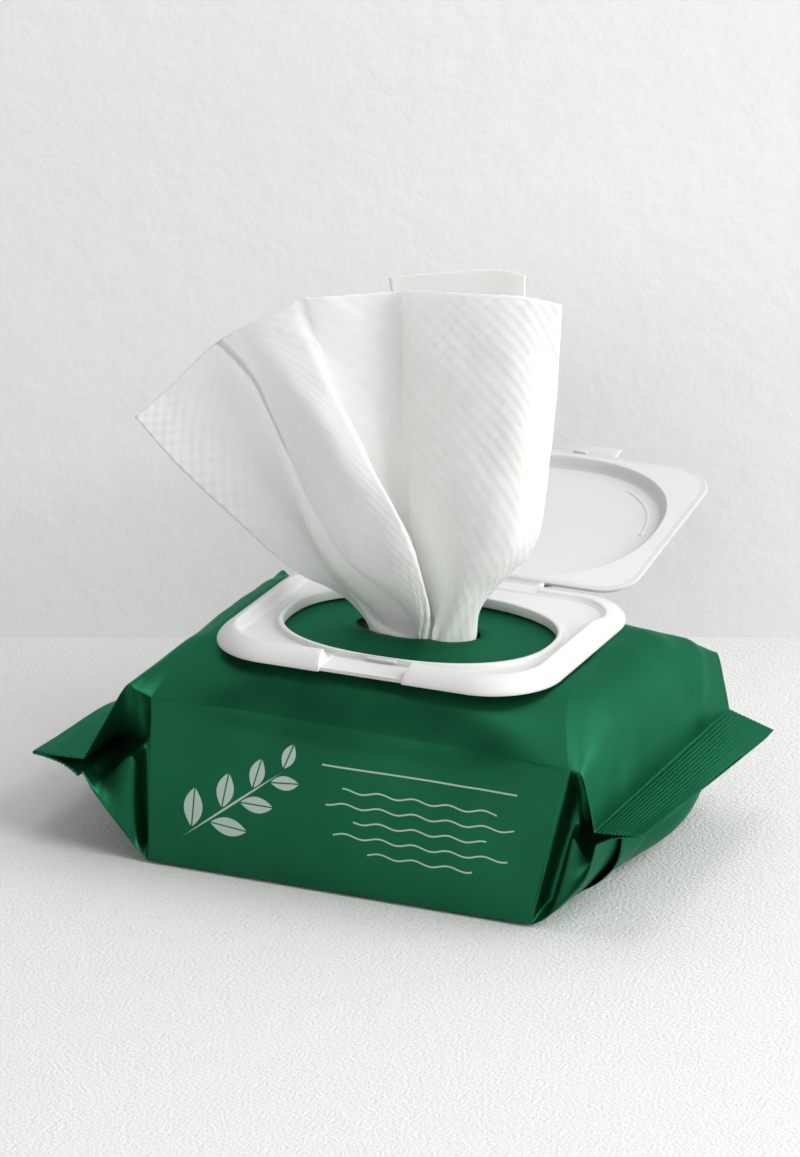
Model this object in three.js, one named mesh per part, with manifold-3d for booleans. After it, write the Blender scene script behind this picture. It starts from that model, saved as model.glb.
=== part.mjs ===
// A pack of wet wipes: a gusseted film pouch with a flip-top lid, standing open with one wipe
// pulled up through the slot. Millimetres, +Z up, X along the pack, the front face towards -Y.
// The origin is the middle of the underside.
import * as THREE from 'three';
import { mergeVertices } from 'three/addons/utils/BufferGeometryUtils.js';
import Module from 'manifold-3d';

const wasm = await Module();
wasm.setup();

// Film pouch
const FILM_WALL = 0.8;
const HALF_DEPTH = 50;
const POUCH_TOP = 59.8;
// The top panel rounds over to the sides from `start` outwards, earlier near the four corners.
const SHOULDER = { start: [34, 24], power: [1.7, 1.5], roundness: [0.75, 1] };
const CORNER_ZONE = { middle: 4, from: 25, to: 50 };
const SLOT = { x: 1.8, y: 1.6, halfLength: 18.2, halfWidth: 8.8 };

// Each end of the pouch runs from the end of the straight body to the seal. The three paths are
// the top edge of the side, the crown of the top panel and the keel of the underside, as [x, z].
const LEFT_END = {
  edge: [[-55, 48.9], [-59.2, 50.4], [-62.6, 51], [-69.6, 39], [-76, 27.6]],
  crown: [[-50, 59.6], [-56, 57.2], [-61.5, 50.5], [-68.5, 38.5], [-76, 27.6]],
  keel: [[-56.8, 0], [-61, 2.6], [-67, 8.4], [-73, 16.5], [-76.3, 25.9]],
  kneeBulge: -1.5,
  frontDroop: { x: -2.4, z: -6 },
};
const RIGHT_END = {
  edge: [[67.8, 47.1], [70, 46.8], [71.6, 45.6], [73.6, 37.5], [75, 30.4]],
  crown: [[58, 59.6], [65.5, 57.2], [71.5, 51], [74, 40], [75, 30.4]],
  keel: [[56.8, 0], [62, 3.6], [67, 9.2], [72.5, 17.5], [75.2, 28.7]],
  kneeBulge: 3,
  frontDroop: { x: 0.4, z: -2.2 },
};
const SEAL_LAYER = 0.75;
const CRIMP_RIBS = 7;
const CRIMP_HEIGHT = 0.3;
const REAR_SAG = 5;
// Flap of the fin seal, standing off each end panel from its root towards its free edge
const FIN = { root: -11, free: -30, stand: 2, wall: 0.8 };

// Flip-top frame, seated on the film
const FRAME_X = 3.5;
const FRAME_Z = 60.2;
const FRAME_HALF = { x: 50, y: 41.25 };
const FRAME_CORNER = 19.8;
const FRAME_FLOOR = 1.3;
const OVAL = { x: 0.8, y: -3.2, halfX: 38.3, halfY: 26.8, power: 2.3 };
const REAR_BANK_DROP = 0.48;
const NOTCH = { left: -12.6, right: 11.8, slope: 1.6, inner: -31, ledge: 1.1, setBack: 0.9 };
const HINGE_GAP = { half: 20, inner: 31, floor: 1.8 };
const SNAP_RIB = { left: -2.7, right: 6, height: 0.6, z: 2.1 };

// Lid, drawn closed about the hinge axis, then swung open
const HINGE = { y: 41, z: 63 };
const OPEN_ANGLE = 170;
const LID = { halfWidth: 43.4, rear: 1.2, front: 75.3, frontCorner: 14, rearCorner: 10 };
const LID_UNDER = 0.3;
const LID_WALL = 1.2;
const LID_DOME = 3.5;
const TAB = { left: -11.4, right: 10.6, reach: 80.6, corner: 3 };
const RIB = { inset: 3.2, width: 0.9, height: 0.7, from: -0.95, to: -0.05 };
const CATCH = { left: -2.2, right: 1.8, from: 73.8, depth: 1.2, drop: 0.5 };
const WEB = { half: 19, thickness: 0.35 };

// Wipes
const STACKED_WIPES = 24;
const LEVEL_PITCH = 0.93;
const LEAF = 0.62;
const STACK = { halfX: 52, halfY: 46, bottom: 1.6, crown: 5.5 };
const PULLED = { sheet: 0.9, neckExtra: 2.2 };
const NECK_Z = 53.9;

const FILM = new THREE.MeshStandardMaterial({ color: 0x1f6b42, roughness: 0.38, metalness: 0.1 });
const PLASTIC = new THREE.MeshStandardMaterial({ color: 0xf1f1ef, roughness: 0.35, metalness: 0 });
const CLOTH = new THREE.MeshStandardMaterial({ color: 0xeef1ed, roughness: 0.95, metalness: 0 });

const part = new THREE.Group();

const lerp = THREE.MathUtils.lerp;
const smooth = THREE.MathUtils.smoothstep;

function toSolid(geometry) {
  const plain = geometry.clone();
  plain.deleteAttribute('normal');
  plain.deleteAttribute('uv');
  const merged = mergeVertices(plain, 1e-4);
  return new wasm.Manifold(new wasm.Mesh({
    numProp: 3,
    vertProperties: new Float32Array(merged.attributes.position.array),
    triVerts: new Uint32Array(merged.index.array),
  }));
}

function toGeometry(solid) {
  const mesh = solid.getMesh();
  const geometry = new THREE.BufferGeometry();
  geometry.setAttribute('position', new THREE.BufferAttribute(new Float32Array(mesh.vertProperties), 3));
  geometry.setIndex(new THREE.BufferAttribute(new Uint32Array(mesh.triVerts), 1));
  geometry.computeVertexNormals();
  return geometry;
}

function addPiece(name, geometry, material, parent = part) {
  const mesh = new THREE.Mesh(geometry, material);
  mesh.name = name;
  parent.add(mesh);
  return mesh;
}

function indexed(points, faces) {
  const geometry = new THREE.BufferGeometry();
  const flat = points.flatMap((p) => [p.x, p.y, p.z]);
  geometry.setAttribute('position', new THREE.Float32BufferAttribute(flat, 3));
  geometry.setIndex(faces);
  return geometry;
}

// Turns the faces out when the loft was drawn the other way round.
function facingOut(points, faces) {
  let volume = 0;
  const cross = new THREE.Vector3();
  for (let i = 0; i < faces.length; i += 3) {
    const [a, b, c] = [points[faces[i]], points[faces[i + 1]], points[faces[i + 2]]];
    volume += a.dot(cross.crossVectors(b, c));
  }
  if (volume < 0) {
    for (let i = 0; i < faces.length; i += 3) {
      [faces[i + 1], faces[i + 2]] = [faces[i + 2], faces[i + 1]];
    }
  }
  return indexed(points, faces);
}

function bridge(faces, rows, count, closedRow, closedColumn) {
  const rowSteps = closedRow ? rows : rows - 1;
  const columnSteps = closedColumn ? count : count - 1;
  for (let i = 0; i < rowSteps; i++) {
    for (let j = 0; j < columnSteps; j++) {
      const a = i * count + j;
      const b = i * count + ((j + 1) % count);
      const c = ((i + 1) % rows) * count + j;
      const d = ((i + 1) % rows) * count + ((j + 1) % count);
      faces.push(a, b, d, a, d, c);
    }
  }
}

// Triangulates a flat cap. The outline is ruffled slightly first, so that points in a straight
// line all stay corners of the cap.
function capFaces(outline) {
  const ruffled = outline.map((p, k) => new THREE.Vector2(p.y, p.z + 0.02 * Math.sin(1.7 * k)));
  const turn = THREE.ShapeUtils.area(ruffled);
  return THREE.ShapeUtils.triangulateShape(ruffled, []).map(([a, b, c]) => {
    const same = THREE.ShapeUtils.area([ruffled[a], ruffled[b], ruffled[c]]) * turn > 0;
    return same ? [a, b, c] : [a, c, b];
  });
}

// Lofts closed rings into one body, capped in the YZ plane at both ends.
function loftRings(rings) {
  const count = rings[0].length;
  const faces = [];
  bridge(faces, rings.length, count, false, true);
  const last = (rings.length - 1) * count;
  for (const [a, b, c] of capFaces(rings[0])) faces.push(a, c, b);
  for (const [a, b, c] of capFaces(rings.at(-1))) faces.push(last + a, last + b, last + c);
  return facingOut(rings.flat(), faces);
}

// A closed sheet between an upper and a lower grid of points.
function sheetBody(upper, lower) {
  const rows = upper.length;
  const count = upper[0].length;
  const offset = rows * count;
  const points = [...upper.flat(), ...lower.flat()];
  const faces = [];
  bridge(faces, rows, count, false, false);
  const under = faces.map((v) => v + offset);
  for (let i = 0; i < under.length; i += 3) {
    faces.push(under[i], under[i + 2], under[i + 1]);
  }
  const rim = [];
  for (let j = 0; j < count; j++) rim.push(j);
  for (let i = 1; i < rows; i++) rim.push(i * count + count - 1);
  for (let j = count - 2; j >= 0; j--) rim.push((rows - 1) * count + j);
  for (let i = rows - 2; i > 0; i--) rim.push(i * count);
  rim.forEach((a, k) => {
    const b = rim[(k + 1) % rim.length];
    faces.push(a, a + offset, b + offset, a, b + offset, b);
  });
  return facingOut(points, faces);
}

function extrudeX(outline, left, right) {
  const shape = new THREE.Shape(outline.map(([y, z]) => new THREE.Vector2(y, z)));
  const geometry = new THREE.ExtrudeGeometry(shape, { depth: right - left, bevelEnabled: false });
  geometry.applyMatrix4(new THREE.Matrix4().set(0, 0, 1, left, 1, 0, 0, 0, 0, 1, 0, 0, 0, 0, 0, 1));
  return geometry;
}

function block(x0, x1, y0, y1, z0, z1) {
  const geometry = new THREE.BoxGeometry(x1 - x0, y1 - y0, z1 - z0);
  geometry.translate((x0 + x1) / 2, (y0 + y1) / 2, (z0 + z1) / 2);
  return toSolid(geometry);
}

function pathPoint(path, t) {
  const curve = new THREE.SplineCurve(path.map(([x, z]) => new THREE.Vector2(x, z)));
  return curve.getPoint(t);
}

// How far the top panel has risen from the side's top edge to the crown, 0 to 1.
function shoulder(station, y, halfDepth) {
  const start = lerp(...SHOULDER.start, station.corner);
  const reach = Math.min(1, Math.max(0, Math.abs(y) - start) / (halfDepth - start));
  const fallen = reach ** lerp(...SHOULDER.power, station.corner);
  return (1 - fallen) ** lerp(...SHOULDER.roundness, station.corner);
}

// The section of an end at t, from 0 at the body to 1 at the seal, pulled in towards the body.
function endStation(end, t, pull = 0) {
  const inward = new THREE.Vector2(-Math.sign(end.keel[0][0]) * pull * t, 0);
  return {
    side: pathPoint(end.edge, 0).distanceTo(pathPoint(end.keel, 0)),
    edge: pathPoint(end.edge, t).add(inward),
    crown: pathPoint(end.crown, t).add(inward),
    keel: pathPoint(end.keel, t).add(inward),
    bulge: end.kneeBulge * Math.sin(Math.PI * t),
    droopX: end.frontDroop.x * t * t,
    droopZ: end.frontDroop.z * t * t,
    corner: 1,
  };
}

function bodyStation(s) {
  const left = endStation(LEFT_END, 0);
  const right = endStation(RIGHT_END, 0);
  const station = { bulge: 0, droopX: 0, droopZ: 0 };
  for (const key of ['edge', 'crown', 'keel']) {
    station[key] = left[key].clone().lerp(right[key], s);
  }
  station.crown.y = lerp(station.crown.y, POUCH_TOP, smooth(Math.min(s, 1 - s), 0, 0.12));
  station.side = station.edge.distanceTo(station.keel);
  station.corner = smooth(Math.abs(station.crown.x - CORNER_ZONE.middle), CORNER_ZONE.from, CORNER_ZONE.to);
  return station;
}

function keelPoint(station, y, inset) {
  const front = Math.max(0, (-y - HALF_DEPTH / 2) / (HALF_DEPTH / 2));
  const middle = 1 - (y / HALF_DEPTH) ** 2;
  return new THREE.Vector3(
    station.keel.x + station.droopX * front + station.bulge * middle,
    y,
    station.keel.y + station.droopZ * front + inset,
  );
}

// One section of the tube: top panel, rear tuck, underside, front tuck. The side panels keep
// their height, so a tuck is as deep as the panel's fold needs.
function pouchRing(station, inset = 0) {
  const { edge, crown, keel } = station;
  const gap = edge.distanceTo(keel);
  const tuck = Math.sqrt(Math.max(0, station.side ** 2 - gap ** 2)) / 2;
  const slant = Math.atan2(gap / 2, tuck);
  const lip = inset * (1 + 2.2 / Math.tan(slant));
  const tip = tuck + inset / Math.sin(slant);
  const half = HALF_DEPTH - lip;
  const ring = [];
  const across = inset > 0 ? 12 : 20;
  for (let j = 0; j <= across; j++) {
    const y = half * Math.sin((j / across - 0.5) * Math.PI * 0.92) / Math.sin(Math.PI * 0.46);
    const rise = shoulder(station, y, half);
    const z = lerp(edge.y, crown.y, rise) - inset;
    ring.push(new THREE.Vector3(lerp(edge.x, crown.x, rise), y, z));
  }
  const side = (sign) => {
    const reach = sign * (half - Math.max(0, tip - lip));
    const under = keelPoint(station, reach, inset);
    const fold = new THREE.Vector3((edge.x + under.x) / 2, reach, (edge.y - inset + under.z) / 2);
    const top = new THREE.Vector3(edge.x, sign * half, edge.y - inset);
    const bottom = keelPoint(station, sign * half, inset);
    const between = (from, to) => [1 / 3, 2 / 3].map((k) => from.clone().lerp(to, k));
    return [...between(top, fold), fold, ...between(fold, bottom)];
  };
  ring.push(...side(1));
  const under = 8;
  for (let j = 0; j <= under; j++) {
    ring.push(keelPoint(station, lerp(half, -half, j / under), inset));
  }
  ring.push(...side(-1).reverse());
  return ring;
}

function pouchLoft(inset, reach) {
  const steps = 7;
  const pull = 1.2 * inset;
  const stations = [];
  for (let i = steps; i > 0; i--) stations.push(endStation(LEFT_END, (reach * i) / steps, pull));
  const body = inset > 0 ? 5 : 10;
  for (let i = 0; i <= body; i++) stations.push(bodyStation(i / body));
  for (let i = 1; i <= steps; i++) stations.push(endStation(RIGHT_END, (reach * i) / steps, pull));
  return toSolid(loftRings(stations.map((station) => pouchRing(station, inset))));
}

function crimp(u) {
  return CRIMP_HEIGHT * Math.cos(2 * Math.PI * CRIMP_RIBS * u);
}

// One layer of an end seal, from the pouch to its cut edge.
function sealLayer(inner, outer, rise) {
  const columns = 2 * CRIMP_RIBS;
  const rows = 7;
  const grid = (drop) => Array.from({ length: rows + 1 }, (_, i) => {
    const y = lerp(-HALF_DEPTH, HALF_DEPTH, i / rows);
    return Array.from({ length: columns + 1 }, (_, j) => {
      const u = j / columns;
      return new THREE.Vector3(
        lerp(inner.x, outer.x, u),
        y,
        lerp(inner.z, outer.z, u) + rise(y, u) + crimp(u) * smooth(u, 0, 0.1) - drop,
      );
    });
  });
  return toSolid(sheetBody(grid(0), grid(SEAL_LAYER)));
}

function leftSeal() {
  const lean = (y, u) => u * (-0.035 * (y + HALF_DEPTH) - REAR_SAG * smooth(y, -12, 34));
  const droop = (y, u) => lean(y, u) - 5.6 * (1 - u) ** 1.6 * smooth(-y, 24, HALF_DEPTH);
  const upper = sealLayer({ x: -74.8, z: 27.7 }, { x: -91.3, z: 27.2 }, lean);
  const lower = sealLayer({ x: -74.8, z: 27.1 }, { x: -90.6, z: 26.6 }, droop);
  return upper.add(lower);
}

function rightSeal() {
  const lean = (y, u) => -0.05 * u * y;
  const droop = (y, u) => lean(y, u) - 1.4 * smooth(-y, 36, HALF_DEPTH);
  const upper = sealLayer({ x: 74, z: 30.4 }, { x: 88.3, z: 28.8 }, lean);
  const lower = sealLayer({ x: 74, z: 29.8 }, { x: 88, z: 28.2 }, droop);
  return upper.add(lower);
}

// Flap of the fin seal on one end panel. Its root and both of its ends are bonded to the panel.
function finFlap(end) {
  const rows = 8;
  const columns = 4;
  const keel = end.keel.map(([x, z]) => new THREE.Vector2(x, z));
  const outward = keel.at(-1).clone().sub(keel[0]).rotateAround(new THREE.Vector2(), -Math.PI / 2);
  outward.normalize().multiplyScalar(Math.sign(keel[0].x));
  const grid = (lift) => Array.from({ length: rows + 1 }, (_, i) => {
    const t = 0.06 + (0.86 * i) / rows;
    return Array.from({ length: columns + 1 }, (_, j) => {
      const share = j / columns;
      const point = keelPoint(endStation(end, t), lerp(FIN.root, FIN.free, share), 0);
      const away = lift + FIN.stand * Math.sin((Math.PI * i) / rows) * share;
      return new THREE.Vector3(point.x + outward.x * away, point.y, point.z + outward.y * away);
    });
  });
  return toSolid(sheetBody(grid(FIN.wall / 2), grid(-FIN.wall / 2)));
}

function slotCutter() {
  const shape = new THREE.Shape();
  shape.absellipse(SLOT.x, SLOT.y, SLOT.halfLength, SLOT.halfWidth, 0, 2 * Math.PI);
  const geometry = new THREE.ExtrudeGeometry(shape, { depth: 12, bevelEnabled: false, curveSegments: 16 });
  geometry.translate(0, 0, POUCH_TOP - 8);
  return toSolid(geometry);
}

function filmWrap() {
  const ends = leftSeal().add(rightSeal()).add(finFlap(LEFT_END)).add(finFlap(RIGHT_END));
  const outside = pouchLoft(0, 1).add(ends);
  const wrap = outside.subtract(pouchLoft(FILM_WALL, 0.86)).subtract(slotCutter());
  return toGeometry(wrap);
}

function rectRadius(angle, halfX, halfY, corner) {
  const c = Math.abs(Math.cos(angle));
  const s = Math.abs(Math.sin(angle));
  if (halfX * s <= (halfY - corner) * c) return halfX / c;
  if (halfY * c <= (halfX - corner) * s) return halfY / s;
  const along = c * (halfX - corner) + s * (halfY - corner);
  const reach = (halfX - corner) ** 2 + (halfY - corner) ** 2 - corner ** 2;
  return along + Math.sqrt(along ** 2 - reach);
}

function ovalRadius(angle, grow) {
  const c = Math.abs(Math.cos(angle)) / (OVAL.halfX + grow);
  const s = Math.abs(Math.sin(angle)) / (OVAL.halfY + grow);
  return (c ** OVAL.power + s ** OVAL.power) ** (-1 / OVAL.power);
}

// Directions round a rounded rectangle, closer together on its corners.
function cornerAngles(halfX, halfY, corner) {
  const angles = [];
  const arc = 8;
  const addPoint = (x, y) => angles.push(Math.atan2(y, x));
  for (const [sx, sy] of [[1, 1], [-1, 1], [-1, -1], [1, -1]]) {
    const first = sx * sy > 0 ? 0 : Math.PI / 2;
    for (let i = 0; i <= arc; i++) {
      const turn = Math.abs(first - (Math.PI / 2) * (i / arc));
      const x = halfX - corner + corner * Math.cos(turn);
      addPoint(sx * x, sy * (halfY - corner + corner * Math.sin(turn)));
    }
    if (sx * sy > 0) {
      for (const k of [0.6, 0.2, -0.2, -0.6]) addPoint(sx * k * (halfX - corner), sy * halfY);
    } else {
      for (const k of [0.5, 0, -0.5]) addPoint(sx * halfX, sy * k * (halfY - corner));
    }
  }
  return angles;
}

function outerPoint(angle, inset, height) {
  const corner = Math.max(2, FRAME_CORNER - inset);
  const r = rectRadius(angle, FRAME_HALF.x - inset, FRAME_HALF.y - inset, corner);
  const y = r * Math.sin(angle);
  const rear = smooth(y, 12, 25);
  const kept = Math.min(height, 1) + Math.max(0, height - 1) * lerp(1, REAR_BANK_DROP, rear);
  const z = FRAME_Z + Math.max(kept, Math.min(height, 1.8));
  return new THREE.Vector3(FRAME_X + r * Math.cos(angle), y, z);
}

function ovalPoint(angle, grow, height) {
  const r = ovalRadius(angle, grow);
  return new THREE.Vector3(
    FRAME_X + OVAL.x + r * Math.cos(angle),
    OVAL.y + r * Math.sin(angle),
    FRAME_Z + height,
  );
}

// The frame's moulded section at one direction, from its outer edge over the bank, down to the
// recessed floor, over the lip and back under.
function frameSection(angle) {
  const wallFoot = outerPoint(angle, 6.6, FRAME_FLOOR);
  const lipFoot = ovalPoint(angle, 1.9, FRAME_FLOOR);
  return [
    outerPoint(angle, 0, 0),
    outerPoint(angle, 0, 0.9),
    outerPoint(angle, 0.7, 1.9),
    outerPoint(angle, 2.6, 3.6),
    outerPoint(angle, 4.6, 4.7),
    outerPoint(angle, 5.3, 4.7),
    outerPoint(angle, 5.8, 4.1),
    wallFoot,
    wallFoot.clone().lerp(lipFoot, 0.5),
    lipFoot,
    ovalPoint(angle, 1.4, 2.7),
    ovalPoint(angle, 0.4, 2.9),
    ovalPoint(angle, 0, 2.5),
    ovalPoint(angle, 0, 0),
  ];
}

function frameRing() {
  const angles = cornerAngles(FRAME_HALF.x, FRAME_HALF.y, FRAME_CORNER);
  const sections = angles.map(frameSection);
  const faces = [];
  bridge(faces, sections.length, sections[0].length, true, true);
  return toSolid(facingOut(sections.flat(), faces));
}

function thumbNotch() {
  const { left, right, slope, inner, ledge, setBack } = NOTCH;
  const low = FRAME_Z + ledge;
  const shape = new THREE.Shape([
    new THREE.Vector2(FRAME_X + left, low),
    new THREE.Vector2(FRAME_X + right, low),
    new THREE.Vector2(FRAME_X + right + slope, low + 6),
    new THREE.Vector2(FRAME_X + left - slope, low + 6),
  ]);
  const front = -FRAME_HALF.y - 4;
  const cut = new THREE.ExtrudeGeometry(shape, { depth: inner - front, bevelEnabled: false });
  cut.rotateX(Math.PI / 2);
  cut.translate(0, inner, 0);
  const edge = block(FRAME_X + left, FRAME_X + right, front, setBack - FRAME_HALF.y, FRAME_Z - 1, low + 3);
  return toSolid(cut).add(edge);
}

function hingeGap() {
  const { half, inner, floor } = HINGE_GAP;
  const rear = FRAME_HALF.y + 4;
  const above = block(FRAME_X - half, FRAME_X + half, inner, rear, FRAME_Z + floor, FRAME_Z + 9);
  const edge = block(FRAME_X - half, FRAME_X + half, HINGE.y - 0.6, rear, FRAME_Z - 1, FRAME_Z + 9);
  return above.add(edge);
}

function snapRib() {
  const y = NOTCH.inner + 0.2;
  const z = FRAME_Z + SNAP_RIB.z;
  const tip = y - SNAP_RIB.height;
  const profile = [[y, z - 0.5], [y, z + 0.5], [tip, z + 0.15], [tip, z - 0.15]];
  return toSolid(extrudeX(profile, FRAME_X + SNAP_RIB.left, FRAME_X + SNAP_RIB.right));
}

function lidFrame() {
  return toGeometry(frameRing().subtract(thumbNotch()).subtract(hingeGap()).add(snapRib()));
}

// In the lid's own frame the hinge axis is the origin, -Y runs to the thumb tab and +Z is up on
// the closed lid.
const lidMiddle = -(LID.rear + LID.front) / 2;
const lidHalfDepth = (LID.front - LID.rear) / 2;

function rimPoint(angle, inset, z) {
  const corner = Math.sin(angle) > 0 ? LID.rearCorner : LID.frontCorner;
  const r = rectRadius(angle, LID.halfWidth - inset, lidHalfDepth - inset, corner - inset * 0.6);
  return new THREE.Vector3(r * Math.cos(angle), lidMiddle + r * Math.sin(angle), z);
}

function plugPoint(angle, grow, z) {
  const r = ovalRadius(angle, grow);
  return new THREE.Vector3(OVAL.x + r * Math.cos(angle), OVAL.y - HINGE.y + r * Math.sin(angle), z);
}

// The dish's outline in the direction of the rim's point at the same angle.
function dishPoint(angle, grow, z) {
  const rim = rimPoint(angle, 0, 0);
  return plugPoint(Math.atan2(rim.y - OVAL.y + HINGE.y, rim.x - OVAL.x), grow, z);
}

function lidShell() {
  const angles = cornerAngles(LID.halfWidth, lidHalfDepth, 12);
  const top = LID_UNDER + LID_WALL;
  const ring = (place) => angles.map(place);
  const outside = [
    ring((a) => rimPoint(a, 0, LID_UNDER)),
    ring((a) => rimPoint(a, 0, top - 0.3)),
    ring((a) => rimPoint(a, 0.4, top)),
    ring((a) => rimPoint(a, 1.6, top + 0.2)),
    ring((a) => dishPoint(a, 1.8, top + LID_DOME * 0.8)),
    ring((a) => dishPoint(a, 0.2, top + LID_DOME)),
    ring((a) => dishPoint(a, -12, top + LID_DOME + 0.3)),
  ];
  const inside = [
    ring((a) => dishPoint(a, -12, LID_UNDER + LID_DOME + 0.1)),
    ring((a) => dishPoint(a, 0.2, LID_UNDER + LID_DOME - 0.2)),
    ring((a) => rimPoint(a, 2, LID_UNDER)),
  ];
  const rings = [...outside, ...inside];
  const faces = [];
  const count = angles.length;
  bridge(faces, rings.length, count, true, true);
  // The two middle rings are closed over with a fan each instead of a wall between them.
  const open = (outside.length - 1) * count;
  const kept = faces.filter((_, i) => {
    const quad = Math.floor(i / 6);
    return Math.floor(quad / count) !== outside.length - 1;
  });
  const points = rings.flat();
  const centres = [top + LID_DOME + 0.4, LID_UNDER + LID_DOME + 0.2];
  centres.forEach((z, side) => {
    const hub = points.push(new THREE.Vector3(OVAL.x, OVAL.y - HINGE.y, z)) - 1;
    for (let j = 0; j < count; j++) {
      const a = open + side * count + j;
      const b = open + side * count + ((j + 1) % count);
      kept.push(hub, ...(side ? [b, a] : [a, b]));
    }
  });
  return toSolid(facingOut(points, kept));
}

// The low curved rib on the lid's inner face, beside the plug's wall.
function curvedRib() {
  const z = LID_UNDER + LID_DOME - 0.1;
  const steps = 12;
  const line = (inset, height) => Array.from({ length: steps + 1 }, (_, i) => {
    return plugPoint(lerp(RIB.from, RIB.to, i / steps), -inset, height);
  });
  const outer = RIB.inset;
  const inner = RIB.inset + RIB.width;
  const upper = [line(inner, z + 0.6), line(outer, z + 0.6)];
  const lower = [line(inner, z - RIB.height), line(outer, z - RIB.height)];
  return toSolid(sheetBody(upper, lower));
}

// The small catch behind the thumb tab that clicks over the frame's snap rib.
function lidCatch() {
  const { left, right, from, depth, drop } = CATCH;
  const profile = [
    [-from, LID_UNDER + 0.5],
    [-from, LID_UNDER - 0.6 * drop],
    [-from - 0.3 * depth, LID_UNDER - drop],
    [-from - depth, LID_UNDER - 0.2 * drop],
    [-from - depth, LID_UNDER + 0.5],
  ];
  return toSolid(extrudeX(profile, left, right));
}

function thumbTab() {
  const { left, right, reach, corner } = TAB;
  const root = LID.front - 1.8;
  const shape = new THREE.Shape();
  shape.moveTo(left, -root);
  shape.lineTo(left, -reach + corner);
  shape.quadraticCurveTo(left, -reach, left + corner, -reach);
  shape.lineTo(right - corner, -reach);
  shape.quadraticCurveTo(right, -reach, right, -reach + corner);
  shape.lineTo(right, -root);
  shape.closePath();
  const options = { depth: LID_WALL, bevelEnabled: false, curveSegments: 6 };
  const geometry = new THREE.ExtrudeGeometry(shape, options);
  geometry.translate(0, 0, LID_UNDER);
  return toSolid(geometry);
}

function lidGeometry() {
  return toGeometry(lidShell().add(curvedRib()).add(thumbTab()).add(lidCatch()));
}

// The thin strip that joins the frame to the lid and folds on the hinge axis.
function hingeWeb() {
  const path = [[40.75, 61.82], [41.25, 62.0], [41.6, 62.35], [41.75, 62.75]];
  const outer = path.map(([y, z], i) => {
    const [y0, z0] = path[Math.max(0, i - 1)];
    const [y1, z1] = path[Math.min(path.length - 1, i + 1)];
    const length = Math.hypot(y1 - y0, z1 - z0);
    return [y + (WEB.thickness * (z1 - z0)) / length, z - (WEB.thickness * (y1 - y0)) / length];
  });
  return extrudeX([...path, ...outer.reverse()], FRAME_X - WEB.half, FRAME_X + WEB.half);
}

// Height of a level of the stack at a distance from its middle: the pile is fuller in the middle.
function levelHeight(level, y, levels) {
  const swell = STACK.crown * (level / levels) * Math.cos((Math.PI * y) / 100);
  return STACK.bottom + level * LEVEL_PITCH + swell;
}

const LEVELS = 2 * STACKED_WIPES + 2;

function leafLine(level, from, to, lift) {
  const steps = 4;
  return Array.from({ length: steps + 1 }, (_, i) => {
    const y = lerp(from, to, i / steps);
    return [y, levelHeight(level, y, LEVELS) + lift];
  });
}

// A wipe folded once round the free edges of its neighbours, so that each pulls up the next.
function foldedWipe(low, front) {
  const high = low + 3;
  const fold = front ? -STACK.halfY : STACK.halfY;
  const free = -fold * 0.985;
  const inner = fold * 0.985;
  return extrudeX([
    ...leafLine(high, fold, free, LEAF),
    ...leafLine(high, free, inner, 0),
    ...leafLine(low, inner, free, LEAF),
    ...leafLine(low, free, fold, 0),
  ], -STACK.halfX, STACK.halfX);
}

const spline = (keys) => new THREE.CatmullRomCurve3(keys.map(([x, y, z]) => new THREE.Vector3(x, y, z)));

// Four edges of the pulled wipe, seen from the front: across the neck, up both sides, and the top.
const FRONT_LAYER = {
  neck: spline([[-12.5, 2, NECK_Z], [-4, -3, NECK_Z], [4, 4, NECK_Z], [12, -2, NECK_Z], [17, 1.8, NECK_Z]]),
  top: spline([[-83, -2, 110], [-62.6, -1, 130.6], [-31.6, 1, 152], [-18.9, 4, 155.3], [-6, 7, 156.5],
    [12, 2, 157.8], [38, 0, 159.7], [44.6, 3, 157.5]]),
  left: spline([[-12.5, 2, NECK_Z], [-17, 1, 65], [-33, -1, 72], [-58, -2, 88.5], [-83, -2, 110]]),
  right: spline([[17, 1.8, NECK_Z], [21, 2.2, 69], [34, 3, 86], [40.8, 3, 111], [44.6, 3, 157.5]]),
  folds: [[0, 0], [0.25, 1.5], [0.4, 7], [0.54, -9], [0.66, 6], [0.78, -2], [0.9, -3], [1, 0]],
};
const REAR_LAYER = {
  neck: spline([[-2, 5, NECK_Z], [8, 5.6, NECK_Z], [17, 2.3, NECK_Z]]),
  top: spline([[-9, 12, 158], [10, 11, 161.5], [29, 9, 163.5], [44.4, 3.4, 157.5]]),
  left: spline([[-2, 5, NECK_Z], [-4, 9, 80], [-7, 12, 120], [-9, 12, 158]]),
  right: spline([[17, 2.3, NECK_Z], [21, 2.7, 69], [34, 3.4, 86], [40.8, 3.4, 111], [44.4, 3.4, 157.5]]),
  folds: [[0, 0], [0.5, 2], [1, 0]],
};

function foldDepth(folds, a) {
  const next = Math.max(1, folds.findIndex(([at]) => at >= a));
  const [a0, d0] = folds[next - 1];
  const [a1, d1] = folds[next];
  return lerp(d0, d1, smooth(a, a0, a1));
}

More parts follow.
